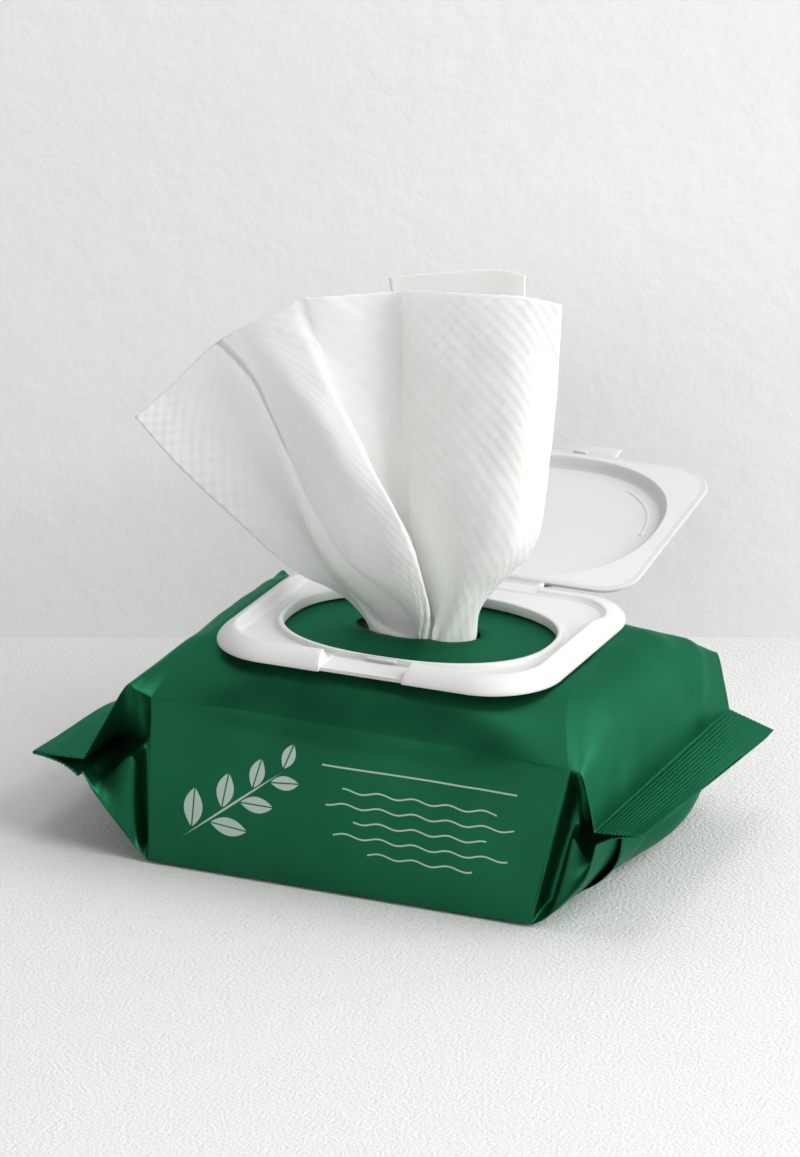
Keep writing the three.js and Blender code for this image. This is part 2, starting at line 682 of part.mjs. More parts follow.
function layerPoint(layer, a, h) {
  const point = layer.neck.getPoint(a).multiplyScalar(1 - h);
  point.addScaledVector(layer.top.getPoint(a), h);
  point.addScaledVector(layer.left.getPoint(h), 1 - a);
  point.addScaledVector(layer.right.getPoint(h), a);
  point.addScaledVector(layer.neck.getPoint(0), -(1 - a) * (1 - h));
  point.addScaledVector(layer.neck.getPoint(1), -a * (1 - h));
  point.addScaledVector(layer.top.getPoint(0), -(1 - a) * h);
  point.addScaledVector(layer.top.getPoint(1), -a * h);
  point.y += foldDepth(layer.folds, a) * Math.sin(Math.PI * Math.min(1, 0.12 + 0.75 * h));
  return point;
}

function clothLayer(layer, across, up) {
  const side = (sign) => Array.from({ length: up + 1 }, (_, i) => {
    const h = i / up;
    const half = (PULLED.sheet + PULLED.neckExtra * (1 - h) ** 4) / 2;
    return Array.from({ length: across + 1 }, (_, j) => {
      const point = layerPoint(layer, j / across, h);
      point.y += sign * half;
      return point;
    });
  });
  return toSolid(sheetBody(side(-1), side(1)));
}

function tuckedLeaf() {
  const level = LEVELS - 0.1;
  const reach = STACK.halfY - 6;
  const outline = [...leafLine(level, -reach, reach, LEAF), ...leafLine(level, reach, -reach, 0)];
  return toSolid(extrudeX(outline, 8 - STACK.halfX, STACK.halfX - 8));
}

function pulledWipe() {
  const front = clothLayer(FRONT_LAYER, 36, 14);
  const rear = clothLayer(REAR_LAYER, 10, 10);
  return toGeometry(front.add(rear).add(tuckedLeaf()));
}

addPiece('film_wrap', filmWrap(), FILM);
addPiece('lid_frame', lidFrame(), PLASTIC);
addPiece('hinge_web', hingeWeb(), PLASTIC);

const lidGroup = new THREE.Group();
lidGroup.position.set(FRAME_X, HINGE.y, HINGE.z);
lidGroup.rotation.x = THREE.MathUtils.degToRad(-OPEN_ANGLE);
part.add(lidGroup);
addPiece('lid', lidGeometry(), PLASTIC, lidGroup);

addPiece('wipe_pulled', pulledWipe(), CLOTH);
for (let i = 0; i < STACKED_WIPES; i++) {
  const number = String(STACKED_WIPES - i).padStart(2, '0');
  addPiece(`wipe_${number}`, foldedWipe(2 * i, i % 2 === 0), CLOTH);
}

export default part;
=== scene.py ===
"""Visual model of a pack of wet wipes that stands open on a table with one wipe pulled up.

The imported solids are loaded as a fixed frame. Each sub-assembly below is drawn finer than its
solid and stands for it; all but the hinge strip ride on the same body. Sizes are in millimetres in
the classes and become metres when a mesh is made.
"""

from __future__ import annotations

import logging
import math
from dataclasses import dataclass
from enum import Enum
from typing import Callable, Iterable, Sequence

import bmesh
import bpy
import numpy as np
from mathutils import Matrix, Vector, noise


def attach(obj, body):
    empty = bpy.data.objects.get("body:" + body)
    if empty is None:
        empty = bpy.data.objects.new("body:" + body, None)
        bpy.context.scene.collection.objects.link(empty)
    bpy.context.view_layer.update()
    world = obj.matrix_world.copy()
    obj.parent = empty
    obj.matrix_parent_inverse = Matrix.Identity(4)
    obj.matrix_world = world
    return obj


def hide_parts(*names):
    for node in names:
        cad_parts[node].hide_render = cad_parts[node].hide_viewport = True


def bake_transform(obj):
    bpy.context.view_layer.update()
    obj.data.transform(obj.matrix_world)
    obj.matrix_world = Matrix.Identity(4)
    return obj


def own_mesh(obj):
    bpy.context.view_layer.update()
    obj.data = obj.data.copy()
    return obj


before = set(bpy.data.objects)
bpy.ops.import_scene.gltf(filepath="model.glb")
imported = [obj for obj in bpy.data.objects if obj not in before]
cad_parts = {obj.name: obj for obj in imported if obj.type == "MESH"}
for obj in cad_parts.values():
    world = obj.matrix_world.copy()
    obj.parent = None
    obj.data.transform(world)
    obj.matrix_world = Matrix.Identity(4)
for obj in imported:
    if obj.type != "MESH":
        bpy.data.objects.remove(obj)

MM = 0.001
log = logging.getLogger("wet_wipes_pack")

Vec = tuple[float, float, float]
Pair = tuple[float, float]
Colour = tuple[float, float, float]


class Body(str, Enum):
    """The bodies that pieces ride on."""

    PACK = "pack"
    LID = "lid"


class Slot(str, Enum):
    """The record's material slots."""

    FILM = "film"
    PLASTIC = "plastic"
    CLOTH = "cloth"


def deselect_all() -> None:
    """Leave nothing selected, so that the next operator acts on its own piece."""
    if bpy.context.object and bpy.context.object.mode != "OBJECT":
        bpy.ops.object.mode_set(mode="OBJECT")
    bpy.ops.object.select_all(action="DESELECT")


def make_active(piece: bpy.types.Object) -> None:
    """Select one piece alone and make it the active one."""
    deselect_all()
    piece.select_set(True)
    bpy.context.view_layer.objects.active = piece


def smoothstep(value: np.ndarray | float, low: float, high: float) -> np.ndarray | float:
    """Rise smoothly from 0 at low to 1 at high."""
    t = np.clip((value - low) / (high - low), 0.0, 1.0)
    return t * t * (3 - 2 * t)


def lerp(a: float | np.ndarray, b: float | np.ndarray, t: float) -> float | np.ndarray:
    """Blend a and b."""
    return a + (b - a) * t


def rgba(colour: Colour, shade: float = 1.0) -> tuple[float, ...]:
    """Darken or lighten a colour and give it its alpha."""
    return (*(shade * c for c in colour), 1.0)


def catmull_rom(keys: np.ndarray, t: float) -> np.ndarray:
    """Find a point on a uniform Catmull-Rom curve through the keys.

    Args:
        keys: Points in order, one row each.
        t: Place along the curve, from 0 to 1.

    Returns:
        The point at t.
    """
    last = len(keys) - 1
    place = min(max(t, 0.0), 1.0) * last
    i = min(int(place), last - 1)
    w = place - i
    before, a, b = keys[max(i - 1, 0)], keys[i], keys[i + 1]
    after = keys[min(i + 2, last)]
    va, vb = (b - before) / 2, (after - a) / 2
    cubic = (2 * a - 2 * b + va + vb) * w**3
    return cubic + (-3 * a + 3 * b - 2 * va - vb) * w**2 + va * w + a


def even_places(keys: np.ndarray, step: float) -> tuple[np.ndarray, np.ndarray]:
    """Find places along a curve through the keys that lie one step apart.

    Args:
        keys: Points in order, one row each.
        step: Distance from one place to the next.

    Returns:
        The places, from 0 to 1, and their distances along the curve.
    """
    dense = np.linspace(0.0, 1.0, 500)
    curve = np.array([catmull_rom(keys, t) for t in dense])
    run = np.concatenate([[0.0], np.cumsum(np.linalg.norm(np.diff(curve, axis=0), axis=1))])
    distance = np.linspace(0.0, run[-1], max(4, round(run[-1] / step) + 1))
    return np.interp(distance, run, dense), distance


def grid_faces(rows: int, columns: int, closed: bool = False) -> np.ndarray:
    """List the quads of a grid of points.

    Args:
        rows: Number of rows.
        columns: Number of points in each row.
        closed: Whether each row runs round to its own start.

    Returns:
        One row of four point numbers for each quad.
    """
    i, j = np.meshgrid(np.arange(rows - 1), np.arange(columns if closed else columns - 1), indexing="ij")
    i, j = i.ravel(), j.ravel()
    k = (j + 1) % columns
    return np.stack([i * columns + j, i * columns + k, (i + 1) * columns + k, (i + 1) * columns + j], 1)


def grid_normals(grid: np.ndarray, closed: bool = False) -> np.ndarray:
    """Find the unit normals of a grid of points.

    Args:
        grid: Rows x columns x 3.
        closed: Whether each row runs round to its own start.

    Returns:
        An array of the same shape.
    """
    along = np.gradient(grid, axis=0)
    if closed:
        across = (np.roll(grid, -1, axis=1) - np.roll(grid, 1, axis=1)) / 2
    else:
        across = np.gradient(grid, axis=1)
    normals = np.cross(across, along)
    length = np.linalg.norm(normals, axis=2, keepdims=True)
    return normals / np.maximum(length, 1e-9)


def soft_noise(grid: np.ndarray, size: float, shift: Vector = Vector()) -> np.ndarray:
    """Sample smooth noise at a grid of points.

    Args:
        grid: Rows x columns x 3, in millimetres.
        size: Size of the noise's lumps, in millimetres.
        shift: Where in the noise the grid lies.

    Returns:
        One value for each point, from about -1 to 1.
    """
    return np.array([[noise.noise(Vector(p) / size + shift) for p in row] for row in grid])


def mesh_object(name: str, points: np.ndarray, faces: np.ndarray) -> bpy.types.Object:
    """Make a piece from points in millimetres, smooth shaded."""
    mesh = bpy.data.meshes.new(name)
    mesh.from_pydata((points.reshape(-1, 3) * MM).tolist(), [], faces.tolist())
    mesh.polygons.foreach_set("use_smooth", [True] * len(mesh.polygons))
    mesh.update()
    piece = bpy.data.objects.new(name, mesh)
    bpy.context.scene.collection.objects.link(piece)
    return piece


def add_sheet_map(piece: bpy.types.Object, flat: np.ndarray) -> None:
    """Lay a pattern map over a piece.

    Args:
        piece: The mesh, with its vertices in the order of flat.
        flat: Each vertex's place on the flat sheet, in millimetres.
    """
    layer = piece.data.uv_layers.new(name="sheet_mm")
    corners = np.zeros(len(piece.data.loops), dtype=np.int32)
    piece.data.loops.foreach_get("vertex_index", corners)
    layer.data.foreach_set("uv", flat[corners].astype(np.float32).ravel())


def apply_modifier(piece: bpy.types.Object, kind: str, **settings: object) -> None:
    """Add a modifier with its settings and apply it."""
    make_active(piece)
    modifier = piece.modifiers.new(kind.title(), kind)
    for key, value in settings.items():
        setattr(modifier, key, value)
    bpy.ops.object.modifier_apply(modifier=modifier.name)


def thicken(piece: bpy.types.Object, thickness: float, offset: float) -> None:
    """Give a sheet its thickness in millimetres; offset -1 is inwards and 0 both ways."""
    apply_modifier(
        piece, "SOLIDIFY", thickness=thickness * MM, offset=offset, use_even_offset=False
    )


def smooth_by_angle(piece: bpy.types.Object, degrees: float) -> None:
    """Shade smooth, apart from edges sharper than an angle."""
    make_active(piece)
    bpy.ops.object.shade_smooth_by_angle(angle=math.radians(degrees))


def cut_away(piece: bpy.types.Object, cutter: bpy.types.Object) -> None:
    """Cut one solid out of another and remove the cutter."""
    apply_modifier(piece, "BOOLEAN", operation="DIFFERENCE", solver="EXACT", object=cutter)
    bpy.data.objects.remove(cutter, do_unlink=True)


def join_solids(piece: bpy.types.Object, other: bpy.types.Object) -> None:
    """Weld a second solid to a piece."""
    apply_modifier(piece, "BOOLEAN", operation="UNION", solver="EXACT", object=other)
    bpy.data.objects.remove(other, do_unlink=True)


def shaped_block(name: str, low: Vec, high: Vec, shape: Callable[[Vector], None] | None = None,
                 round_over: float = 0.0) -> bpy.types.Object:
    """Add a cube at its size and place, shape its corners and round its edges.

    Args:
        name: Name of the piece.
        low: Lowest corner, in millimetres.
        high: Highest corner, in millimetres.
        shape: Moves each corner, given in millimetres, or None.
        round_over: Width of the bevel on every edge, in millimetres.

    Returns:
        The block.
    """
    deselect_all()
    bpy.ops.mesh.primitive_cube_add(size=1)
    piece = bpy.context.object
    piece.name = name
    lowest, highest = Vector(low), Vector(high)
    bpy.ops.object.mode_set(mode="EDIT")
    mesh = bmesh.from_edit_mesh(piece.data)
    for vertex in mesh.verts:
        place = Vector(
            lowest[k] if vertex.co[k] < 0 else highest[k] for k in range(3)
        )
        if shape:
            shape(place)
        vertex.co = place * MM
    bmesh.update_edit_mesh(piece.data)
    if round_over:
        bpy.ops.mesh.select_all(action="SELECT")
        bpy.ops.mesh.bevel(offset=round_over * MM, segments=3, affect="EDGES")
    bpy.ops.object.mode_set(mode="OBJECT")
    return piece


class OutlineLoft:
    """A moulded form drawn by extruding one closed outline to the next."""

    def __init__(self, name: str, outline: np.ndarray, capped: bool = False) -> None:
        """Start from a circle shaped to the first outline.

        Args:
            name: Name of the piece.
            outline: Points of the first outline, in millimetres.
            capped: Whether the first outline is filled.
        """
        deselect_all()
        fill = "NGON" if capped else "NOTHING"
        bpy.ops.mesh.primitive_circle_add(vertices=len(outline), radius=0.01, fill_type=fill)
        self.piece = bpy.context.object
        self.piece.name = name
        self.last = np.array([v.co for v in self.piece.data.vertices]) / MM
        bpy.ops.object.mode_set(mode="EDIT")
        bpy.ops.mesh.select_mode(type="VERT")
        bpy.ops.mesh.select_all(action="SELECT")
        self._move_selected(outline)

    def _move_selected(self, outline: np.ndarray) -> None:
        """Move the selected loop from the last outline to a new one."""
        mesh = bmesh.from_edit_mesh(self.piece.data)
        for vertex in [v for v in mesh.verts if v.select]:
            gaps = np.sum((self.last - np.array(vertex.co) / MM) ** 2, axis=1)
            vertex.co = Vector(outline[int(np.argmin(gaps))]) * MM
        bmesh.update_edit_mesh(self.piece.data)
        self.last = outline

    def extrude_to(self, outline: np.ndarray) -> None:
        """Extrude the open edge and move it to the next outline."""
        bpy.ops.mesh.extrude_edges_move()
        self._move_selected(outline)

    def cap(self) -> None:
        """Fill the open edge."""
        bpy.ops.mesh.edge_face_add()

    def bridge_ends(self) -> None:
        """Join the last outline to the first, as round a ring."""
        bpy.ops.mesh.select_all(action="DESELECT")
        bpy.ops.mesh.select_non_manifold()
        bpy.ops.mesh.bridge_edge_loops()

    def finish(self) -> bpy.types.Object:
        """Leave edit mode with the normals turned outwards."""
        bpy.ops.mesh.select_all(action="SELECT")
        bpy.ops.mesh.normals_make_consistent(inside=False)
        bpy.ops.object.mode_set(mode="OBJECT")
        return self.piece


# Shader building


class NodePen:
    """Adds nodes to a tree and joins them."""

    def __init__(self, tree: bpy.types.NodeTree) -> None:
        """Write into a tree."""
        self.tree = tree

    def add(self, kind: str, inputs: dict | None = None, **settings: object) -> bpy.types.Node:
        """Add a node.

        Args:
            kind: Node type, without its ShaderNode prefix where it has one.
            inputs: Values or sockets by input name or number.
            settings: Properties of the node.

        Returns:
            The node.
        """
        name = kind if kind.startswith("NodeGroup") else "ShaderNode" + kind
        node = self.tree.nodes.new(name)
        for key, value in settings.items():
            setattr(node, key, value)
        for key, value in (inputs or {}).items():
            self.put(node.inputs[key], value)
        return node

    def put(self, socket: bpy.types.NodeSocket, value: object) -> None:
        """Set a socket's value, or link a socket to it."""
        if isinstance(value, bpy.types.NodeSocket):
            self.tree.links.new(value, socket)
        else:
            socket.default_value = value

    def math(self, operation: str, a: object, b: object = 0.0, clamp: bool = False) -> bpy.types.NodeSocket:
        """Add a Math node and give its result."""
        node = self.add("Math", {0: a, 1: b}, operation=operation, use_clamp=clamp)
        return node.outputs[0]

    def mix(self, share: object, a: object, b: object) -> bpy.types.NodeSocket:
        """Mix two colours."""
        node = self.add("Mix", data_type="RGBA")
        self.put(node.inputs[0], share)
        self.put(node.inputs[6], a)
        self.put(node.inputs[7], b)
        return node.outputs[2]

    def ramp(self, value: object, low: float, high: float, bottom: float = 0.0,
             top: float = 1.0) -> bpy.types.NodeSocket:
        """Map low..high to bottom..top, clamped and smooth."""
        node = self.add(
            "MapRange",
            {"Value": value, "From Min": low, "From Max": high, "To Min": bottom, "To Max": top},
            interpolation_type="SMOOTHSTEP",
        )
        return node.outputs[0]

    def bump(self, height: object, strength: float, distance: float) -> bpy.types.NodeSocket:
        """Turn a height into a normal; the distance is in metres."""
        node = self.add("Bump", {"Height": height, "Strength": strength, "Distance": distance})
        return node.outputs[0]

    def group(self, tree: bpy.types.NodeTree, inputs: dict) -> bpy.types.Node:
        """Place a node group with its own values."""
        node = self.tree.nodes.new("ShaderNodeGroup")
        node.node_tree = tree
        for key, value in inputs.items():
            self.put(node.inputs[key], value)
        return node


def new_group(name: str, inputs: dict[str, tuple[str, object]], outputs: Sequence[str]) -> tuple[
        bpy.types.NodeTree, NodePen, bpy.types.Node, bpy.types.Node]:
    """Start a shader node group.

    Args:
        name: Name of the group.
        inputs: Socket kind (Float, Vector or Color) and first value by input name.
        outputs: Names of the float outputs.

    Returns:
        The tree, a pen for it, its input node and its output node.
    """
    tree = bpy.data.node_groups.new(name, "ShaderNodeTree")
    for key, (kind, value) in inputs.items():
        socket = tree.interface.new_socket(key, in_out="INPUT", socket_type="NodeSocket" + kind)
        if value is not None:
            socket.default_value = value
    for key in outputs:
        tree.interface.new_socket(key, in_out="OUTPUT", socket_type="NodeSocketFloat")
    pen = NodePen(tree)
    return tree, pen, pen.add("NodeGroupInput"), pen.add("NodeGroupOutput")


class SharedEffects:
    """Node groups that more than one material uses, each built once."""

    def __init__(self) -> None:
        """Build every group."""
        self.grain = self._grain()
        self.mottle = self._mottle()
        self.leaf = self._leaf()
        self.ripple = self._ripple()
        self.emboss = self._emboss()

    @staticmethod
    def _grain() -> bpy.types.NodeTree:
        """Fine even grain, as on a moulded or printed surface."""
        tree, pen, source, sink = new_group(
            "fine_grain",
            {"Vector": ("Vector", None), "Scale": ("Float", 900.0), "Softness": ("Float", 0.5)},
            ["Height"],
        )
        near = pen.add("TexNoise", {"Vector": source.outputs["Vector"], "Scale": source.outputs["Scale"],
                                    "Detail": 3.0, "Roughness": source.outputs["Softness"]})
        pen.put(sink.inputs["Height"], near.outputs[0])
        return tree

    @staticmethod
    def _mottle() -> bpy.types.NodeTree:
        """Slow uneven patches, for colour and gloss that are never quite even."""
        tree, pen, source, sink = new_group(
            "soft_mottle", {"Vector": ("Vector", None), "Scale": ("Float", 20.0), "Low": ("Float", 0.9),
                            "High": ("Float", 1.1)}, ["Value"],
        )
        patches = pen.add("TexNoise", {"Vector": source.outputs["Vector"], "Scale": source.outputs["Scale"],
                                       "Detail": 4.0, "Roughness": 0.55})
        spread = pen.add("MapRange", {"Value": patches.outputs[0], "From Min": 0.3, "From Max": 0.7,
                                      "To Min": source.outputs["Low"], "To Max": source.outputs["High"]})
        pen.put(sink.inputs["Value"], spread.outputs[0])
        return tree

    @staticmethod
    def _leaf() -> bpy.types.NodeTree:
        """A pointed leaf on the front panel, the overlap of two discs, with a vein left open."""
        tree, pen, source, sink = new_group(
            "printed_leaf", {"Vector": ("Vector", None), "X": ("Float", 0.0), "Z": ("Float", 0.0),
                             "Turn": ("Float", 0.0), "Length": ("Float", 0.02), "Bulge": ("Float", 0.7),
                             "Vein": ("Float", 0.0003)},
            ["Mask"],
        )
        place = pen.add("CombineXYZ", {"X": source.outputs["X"], "Z": source.outputs["Z"]})
        moved = pen.add("VectorMath", {0: source.outputs["Vector"], 1: place.outputs[0]},
                        operation="SUBTRACT")
        turned = pen.add("VectorRotate", {"Vector": moved.outputs[0], "Axis": (0.0, 1.0, 0.0),
                                          "Angle": source.outputs["Turn"]}, rotation_type="AXIS_ANGLE")
        axes = pen.add("SeparateXYZ", {0: turned.outputs[0]})
        length = source.outputs["Length"]
        across = pen.math("ABSOLUTE", axes.outputs["X"])
        along = pen.math("DIVIDE", axes.outputs["Z"], length)
        span = pen.math("SUBTRACT", 0.25, pen.math("MULTIPLY", along, along))
        reach = pen.math("MULTIPLY", pen.math("MULTIPLY", span, source.outputs["Bulge"]), length)
        inside = pen.math("SUBTRACT", reach, across)
        shape = pen.ramp(inside, 0.0, 0.00012)
        vein = pen.ramp(pen.math("SUBTRACT", across, source.outputs["Vein"]), 0.0, 0.00012)
        pen.put(sink.inputs["Mask"], pen.math("MULTIPLY", shape, vein))
        return tree

    @staticmethod
    def _ripple() -> bpy.types.NodeTree:
        """A thin printed line on the front panel, straight or gently waved."""
        tree, pen, source, sink = new_group(
            "printed_line", {"Vector": ("Vector", None), "Left": ("Float", 0.0), "Right": ("Float", 0.05),
                             "Z": ("Float", 0.02), "Wave": ("Float", 0.0), "Width": ("Float", 0.0005)},
            ["Mask"],
        )
        axes = pen.add("SeparateXYZ", {0: source.outputs["Vector"]})
        x = axes.outputs["X"]
        wave = pen.math("SINE", pen.math("MULTIPLY", x, 620.0))
        swing = pen.math("MULTIPLY", wave, source.outputs["Wave"])
        height = pen.math("SUBTRACT", pen.math("SUBTRACT", axes.outputs["Z"], source.outputs["Z"]), swing)
        inside = pen.math("SUBTRACT", source.outputs["Width"], pen.math("ABSOLUTE", height))
        line = pen.ramp(inside, 0.0, 0.0001)
        left = pen.ramp(pen.math("SUBTRACT", x, source.outputs["Left"]), 0.0, 0.0002)
        right = pen.ramp(pen.math("SUBTRACT", source.outputs["Right"], x), 0.0, 0.0002)
        pen.put(sink.inputs["Mask"], pen.math("MULTIPLY", line, pen.math("MULTIPLY", left, right)))
        return tree

    @staticmethod
    def _emboss() -> bpy.types.NodeTree:
        """Small pillows in staggered rows, pressed into the cloth, with loose fibres between."""
        tree, pen, source, sink = new_group(
            "cloth_emboss", {"Vector": ("Vector", None), "Pitch": ("Float", 2.6), "Fibre": ("Float", 0.4)},
            ["Height", "Fibres"],
        )
        turns = pen.math("DIVIDE", math.pi * math.sqrt(2.0), source.outputs["Pitch"])
        scaled = pen.add("VectorMath", {0: source.outputs["Vector"]}, operation="SCALE")
        pen.put(scaled.inputs["Scale"], turns)
        axes = pen.add("SeparateXYZ", {0: scaled.outputs[0]})
        u, v = axes.outputs["X"], axes.outputs["Y"]
        rows = pen.math("MULTIPLY", pen.math("COSINE", u), pen.math("COSINE", v))
        fibres = pen.add("TexNoise", {"Vector": source.outputs["Vector"], "Scale": 4.0, "Detail": 5.0,
                                      "Roughness": 0.65, "Distortion": 1.2})
        pen.put(sink.inputs["Fibres"], fibres.outputs[0])
        fine = pen.math("MULTIPLY", fibres.outputs[0], source.outputs["Fibre"])
        pen.put(sink.inputs["Height"], pen.math("ADD", pen.math("MULTIPLY", rows, 0.35), fine))
        return tree


def new_material(name: str, surface: dict[str, object]) -> tuple[
        bpy.types.Material, NodePen, bpy.types.Node]:
    """Start a material on its Principled shader.

    Args:
        name: Name of the material.
        surface: Values of the shader's sockets by name.

    Returns:
        The material, a pen for its tree and the shader.
    """
    material = bpy.data.materials.new(name)
    material.use_nodes = True
    pen = NodePen(material.node_tree)
    shader = material.node_tree.nodes["Principled BSDF"]
    for key, value in surface.items():
        shader.inputs[key].default_value = value
    return material, pen, shader


@dataclass(frozen=True)
class PrintedLeaf:
    """One leaf or stem of the printed sprig, in millimetres and degrees."""

    x: float
    z: float
    turn: float
    length: float
    bulge: float
    vein: float = 0.14


def sprig(base: Pair, tip: Pair, count: int, length: float) -> tuple[PrintedLeaf, ...]:
    """Set leaves alternately along a stem.

    Args:
        base: Foot of the stem as x and z.
        tip: End of the stem.
        count: Number of leaves.
        length: Length of the longest leaf.

    Returns:
        The stem and its leaves.
    """
    run = math.hypot(tip[0] - base[0], tip[1] - base[1])
    lean = math.degrees(math.atan2(tip[0] - base[0], tip[1] - base[1]))
    drawn = [PrintedLeaf((base[0] + tip[0]) / 2, (base[1] + tip[1]) / 2, -lean, run, 0.035, -1.0)]
    for k in range(count):
        share = (k + 0.8) / count
        size = length * (1 - 0.35 * share)
        tilt = lean + (48 if k % 2 else -48) * (1 - 0.4 * share)
        out = size / 2 + 1.1
        x = lerp(base[0], tip[0], share) + out * math.sin(math.radians(tilt))
        z = lerp(base[1], tip[1], share) + out * math.cos(math.radians(tilt))
        drawn.append(PrintedLeaf(x, z, -tilt, size, 0.95))
    return tuple(drawn)


@dataclass(frozen=True)
class FilmFinish:
    """Satin printed film with a metal layer that shows in its highlights."""

    shared: SharedEffects
    base: Colour = (0.012, 0.128, 0.056)
    edge: Colour = (0.45, 0.8, 0.65)
    print_colour: Colour = (0.42, 0.53, 0.47)
    roughness: float = 0.41
    metal: float = 0.9
    leaves: tuple[PrintedLeaf, ...] = sprig((-47.0, 9.0), (-15.0, 34.0), 7, 12.5)
    ripples: tuple[tuple[float, float, float, float, float], ...] = (
        (-4.0, 53.0, 37.5, 0.0, 0.3),
        (2.0, 47.0, 31.0, 0.5, 0.28),
        (-3.0, 52.0, 26.6, 0.5, 0.28),
        (5.0, 44.0, 22.2, 0.5, 0.28),
        (-1.0, 50.0, 17.8, 0.5, 0.28),
        (9.0, 40.0, 13.4, 0.5, 0.28),
    )

    def material(self) -> bpy.types.Material:
        """Build the material."""
        material, pen, shader = new_material("satin_film", {
            "Coat Weight": 0.02, "Coat Roughness": 0.35, "Specular Tint": rgba(self.edge),
        })
        place = pen.add("TexCoord").outputs["Object"]
        mask = self._print_mask(pen, place)
        patch = pen.group(self.shared.mottle, {"Vector": place, "Scale": 26.0, "Low": 0.0, "High": 1.0})
        green = pen.mix(patch.outputs[0], rgba(self.base, 0.86), rgba(self.base, 1.1))
        pen.put(shader.inputs["Base Color"], pen.mix(mask, green, rgba(self.print_colour)))
        pen.put(shader.inputs["Metallic"], pen.ramp(mask, 0.0, 1.0, self.metal, 0.12))
        gloss = pen.group(self.shared.mottle, {
            "Vector": place, "Scale": 60.0, "Low": self.roughness - 0.03, "High": self.roughness + 0.04,
        })
        pen.put(shader.inputs["Roughness"], gloss.outputs[0])
        grain = pen.group(self.shared.grain, {"Vector": place, "Scale": 1500.0, "Softness": 0.4})
        soft = pen.group(self.shared.grain, {"Vector": place, "Scale": 95.0, "Softness": 0.3})
        height = pen.math("ADD", pen.math("MULTIPLY", grain.outputs[0], 0.04), soft.outputs[0])
        pen.put(shader.inputs["Normal"], pen.bump(height, 0.25, 0.0004))
        return material

    def _print_mask(self, pen: NodePen, place: bpy.types.NodeSocket) -> bpy.types.NodeSocket:
        """Draw the sprig and the ripples on the front panel."""
        mask: object = 0.0
        for leaf in self.leaves:
            drawn = pen.group(self.shared.leaf, {
                "Vector": place, "X": leaf.x * MM, "Z": leaf.z * MM, "Turn": math.radians(leaf.turn),
                "Length": leaf.length * MM, "Bulge": leaf.bulge, "Vein": leaf.vein * MM,
            })
            mask = pen.math("MAXIMUM", mask, drawn.outputs[0])
        for left, right, z, wave, width in self.ripples:
            drawn = pen.group(self.shared.ripple, {
                "Vector": place, "Left": left * MM, "Right": right * MM, "Z": z * MM, "Wave": wave * MM,
                "Width": width * MM,
            })
            mask = pen.math("MAXIMUM", mask, drawn.outputs[0])
        depth = pen.add("SeparateXYZ", {0: place}).outputs["Y"]
        front = pen.math("LESS_THAN", depth, -0.0465)
        return pen.math("MULTIPLY", mask, front)


@dataclass(frozen=True)
class PlasticFinish:
    """White moulded polypropylene."""

    shared: SharedEffects
    name: str = "moulded_plastic"
    base: Colour = (0.60, 0.60, 0.592)
    roughness: float = 0.36
    clear: float = 0.0

    def material(self) -> bpy.types.Material:
        """Build the material; clear is how far a thin edge lets light through."""
        material, pen, shader = new_material(self.name, {
            "Subsurface Weight": 0.08, "Subsurface Scale": 0.0012, "Subsurface Radius": (1.0, 1.0, 1.0),
            "Transmission Weight": self.clear, "IOR": 1.49, "Specular IOR Level": 0.35,
        })
        place = pen.add("TexCoord").outputs["Object"]
        patch = pen.group(self.shared.mottle, {"Vector": place, "Scale": 40.0, "Low": 0.0, "High": 1.0})
        white = pen.mix(patch.outputs[0], rgba(self.base, 0.97), rgba(self.base))
        pen.put(shader.inputs["Base Color"], white)
        gloss = pen.group(self.shared.mottle, {
            "Vector": place, "Scale": 150.0, "Low": self.roughness - 0.04, "High": self.roughness + 0.05,
        })
        pen.put(shader.inputs["Roughness"], gloss.outputs[0])
        grain = pen.group(self.shared.grain, {"Vector": place, "Scale": 2600.0, "Softness": 0.5})
        pen.put(shader.inputs["Normal"], pen.bump(grain.outputs[0], 0.15, 0.00004))
        return material


@dataclass(frozen=True)
class ClothFinish:
    """Damp nonwoven cloth, embossed and slightly see-through."""

    shared: SharedEffects
    base: Colour = (0.95, 0.96, 0.94)
    pitch: float = 3.3
    glow: float = 0.42

    def material(self) -> bpy.types.Material:
        """Build the material."""
        material, pen, shader = new_material("damp_nonwoven", {
            "Sheen Weight": 0.25, "Sheen Roughness": 0.5, "Subsurface Weight": 0.35,
            "Subsurface Scale": 0.002, "Subsurface Radius": (1.0, 1.0, 1.0),
        })
        flat = pen.add("UVMap", uv_map="sheet_mm").outputs[0]
        cloth = pen.group(self.shared.emboss, {"Vector": flat, "Pitch": self.pitch, "Fibre": 0.5})
        fibres = pen.ramp(cloth.outputs["Fibres"], 0.3, 0.7)
        pen.put(shader.inputs["Base Color"], pen.mix(fibres, rgba(self.base, 0.93), rgba(self.base)))
        pen.put(shader.inputs["Roughness"], pen.ramp(cloth.outputs["Fibres"], 0.2, 0.8, 0.7, 0.95))
        normal = pen.bump(cloth.outputs["Height"], 0.4, 0.0003)
        pen.put(shader.inputs["Normal"], normal)
        through = pen.add("BsdfTranslucent", {"Color": rgba(self.base), "Normal": normal})
        blend = pen.add("MixShader", {0: self.glow, 1: shader.outputs[0], 2: through.outputs[0]})
        pen.put(material.node_tree.nodes["Material Output"].inputs["Surface"], blend.outputs[0])
        return material


# The photograph's camera


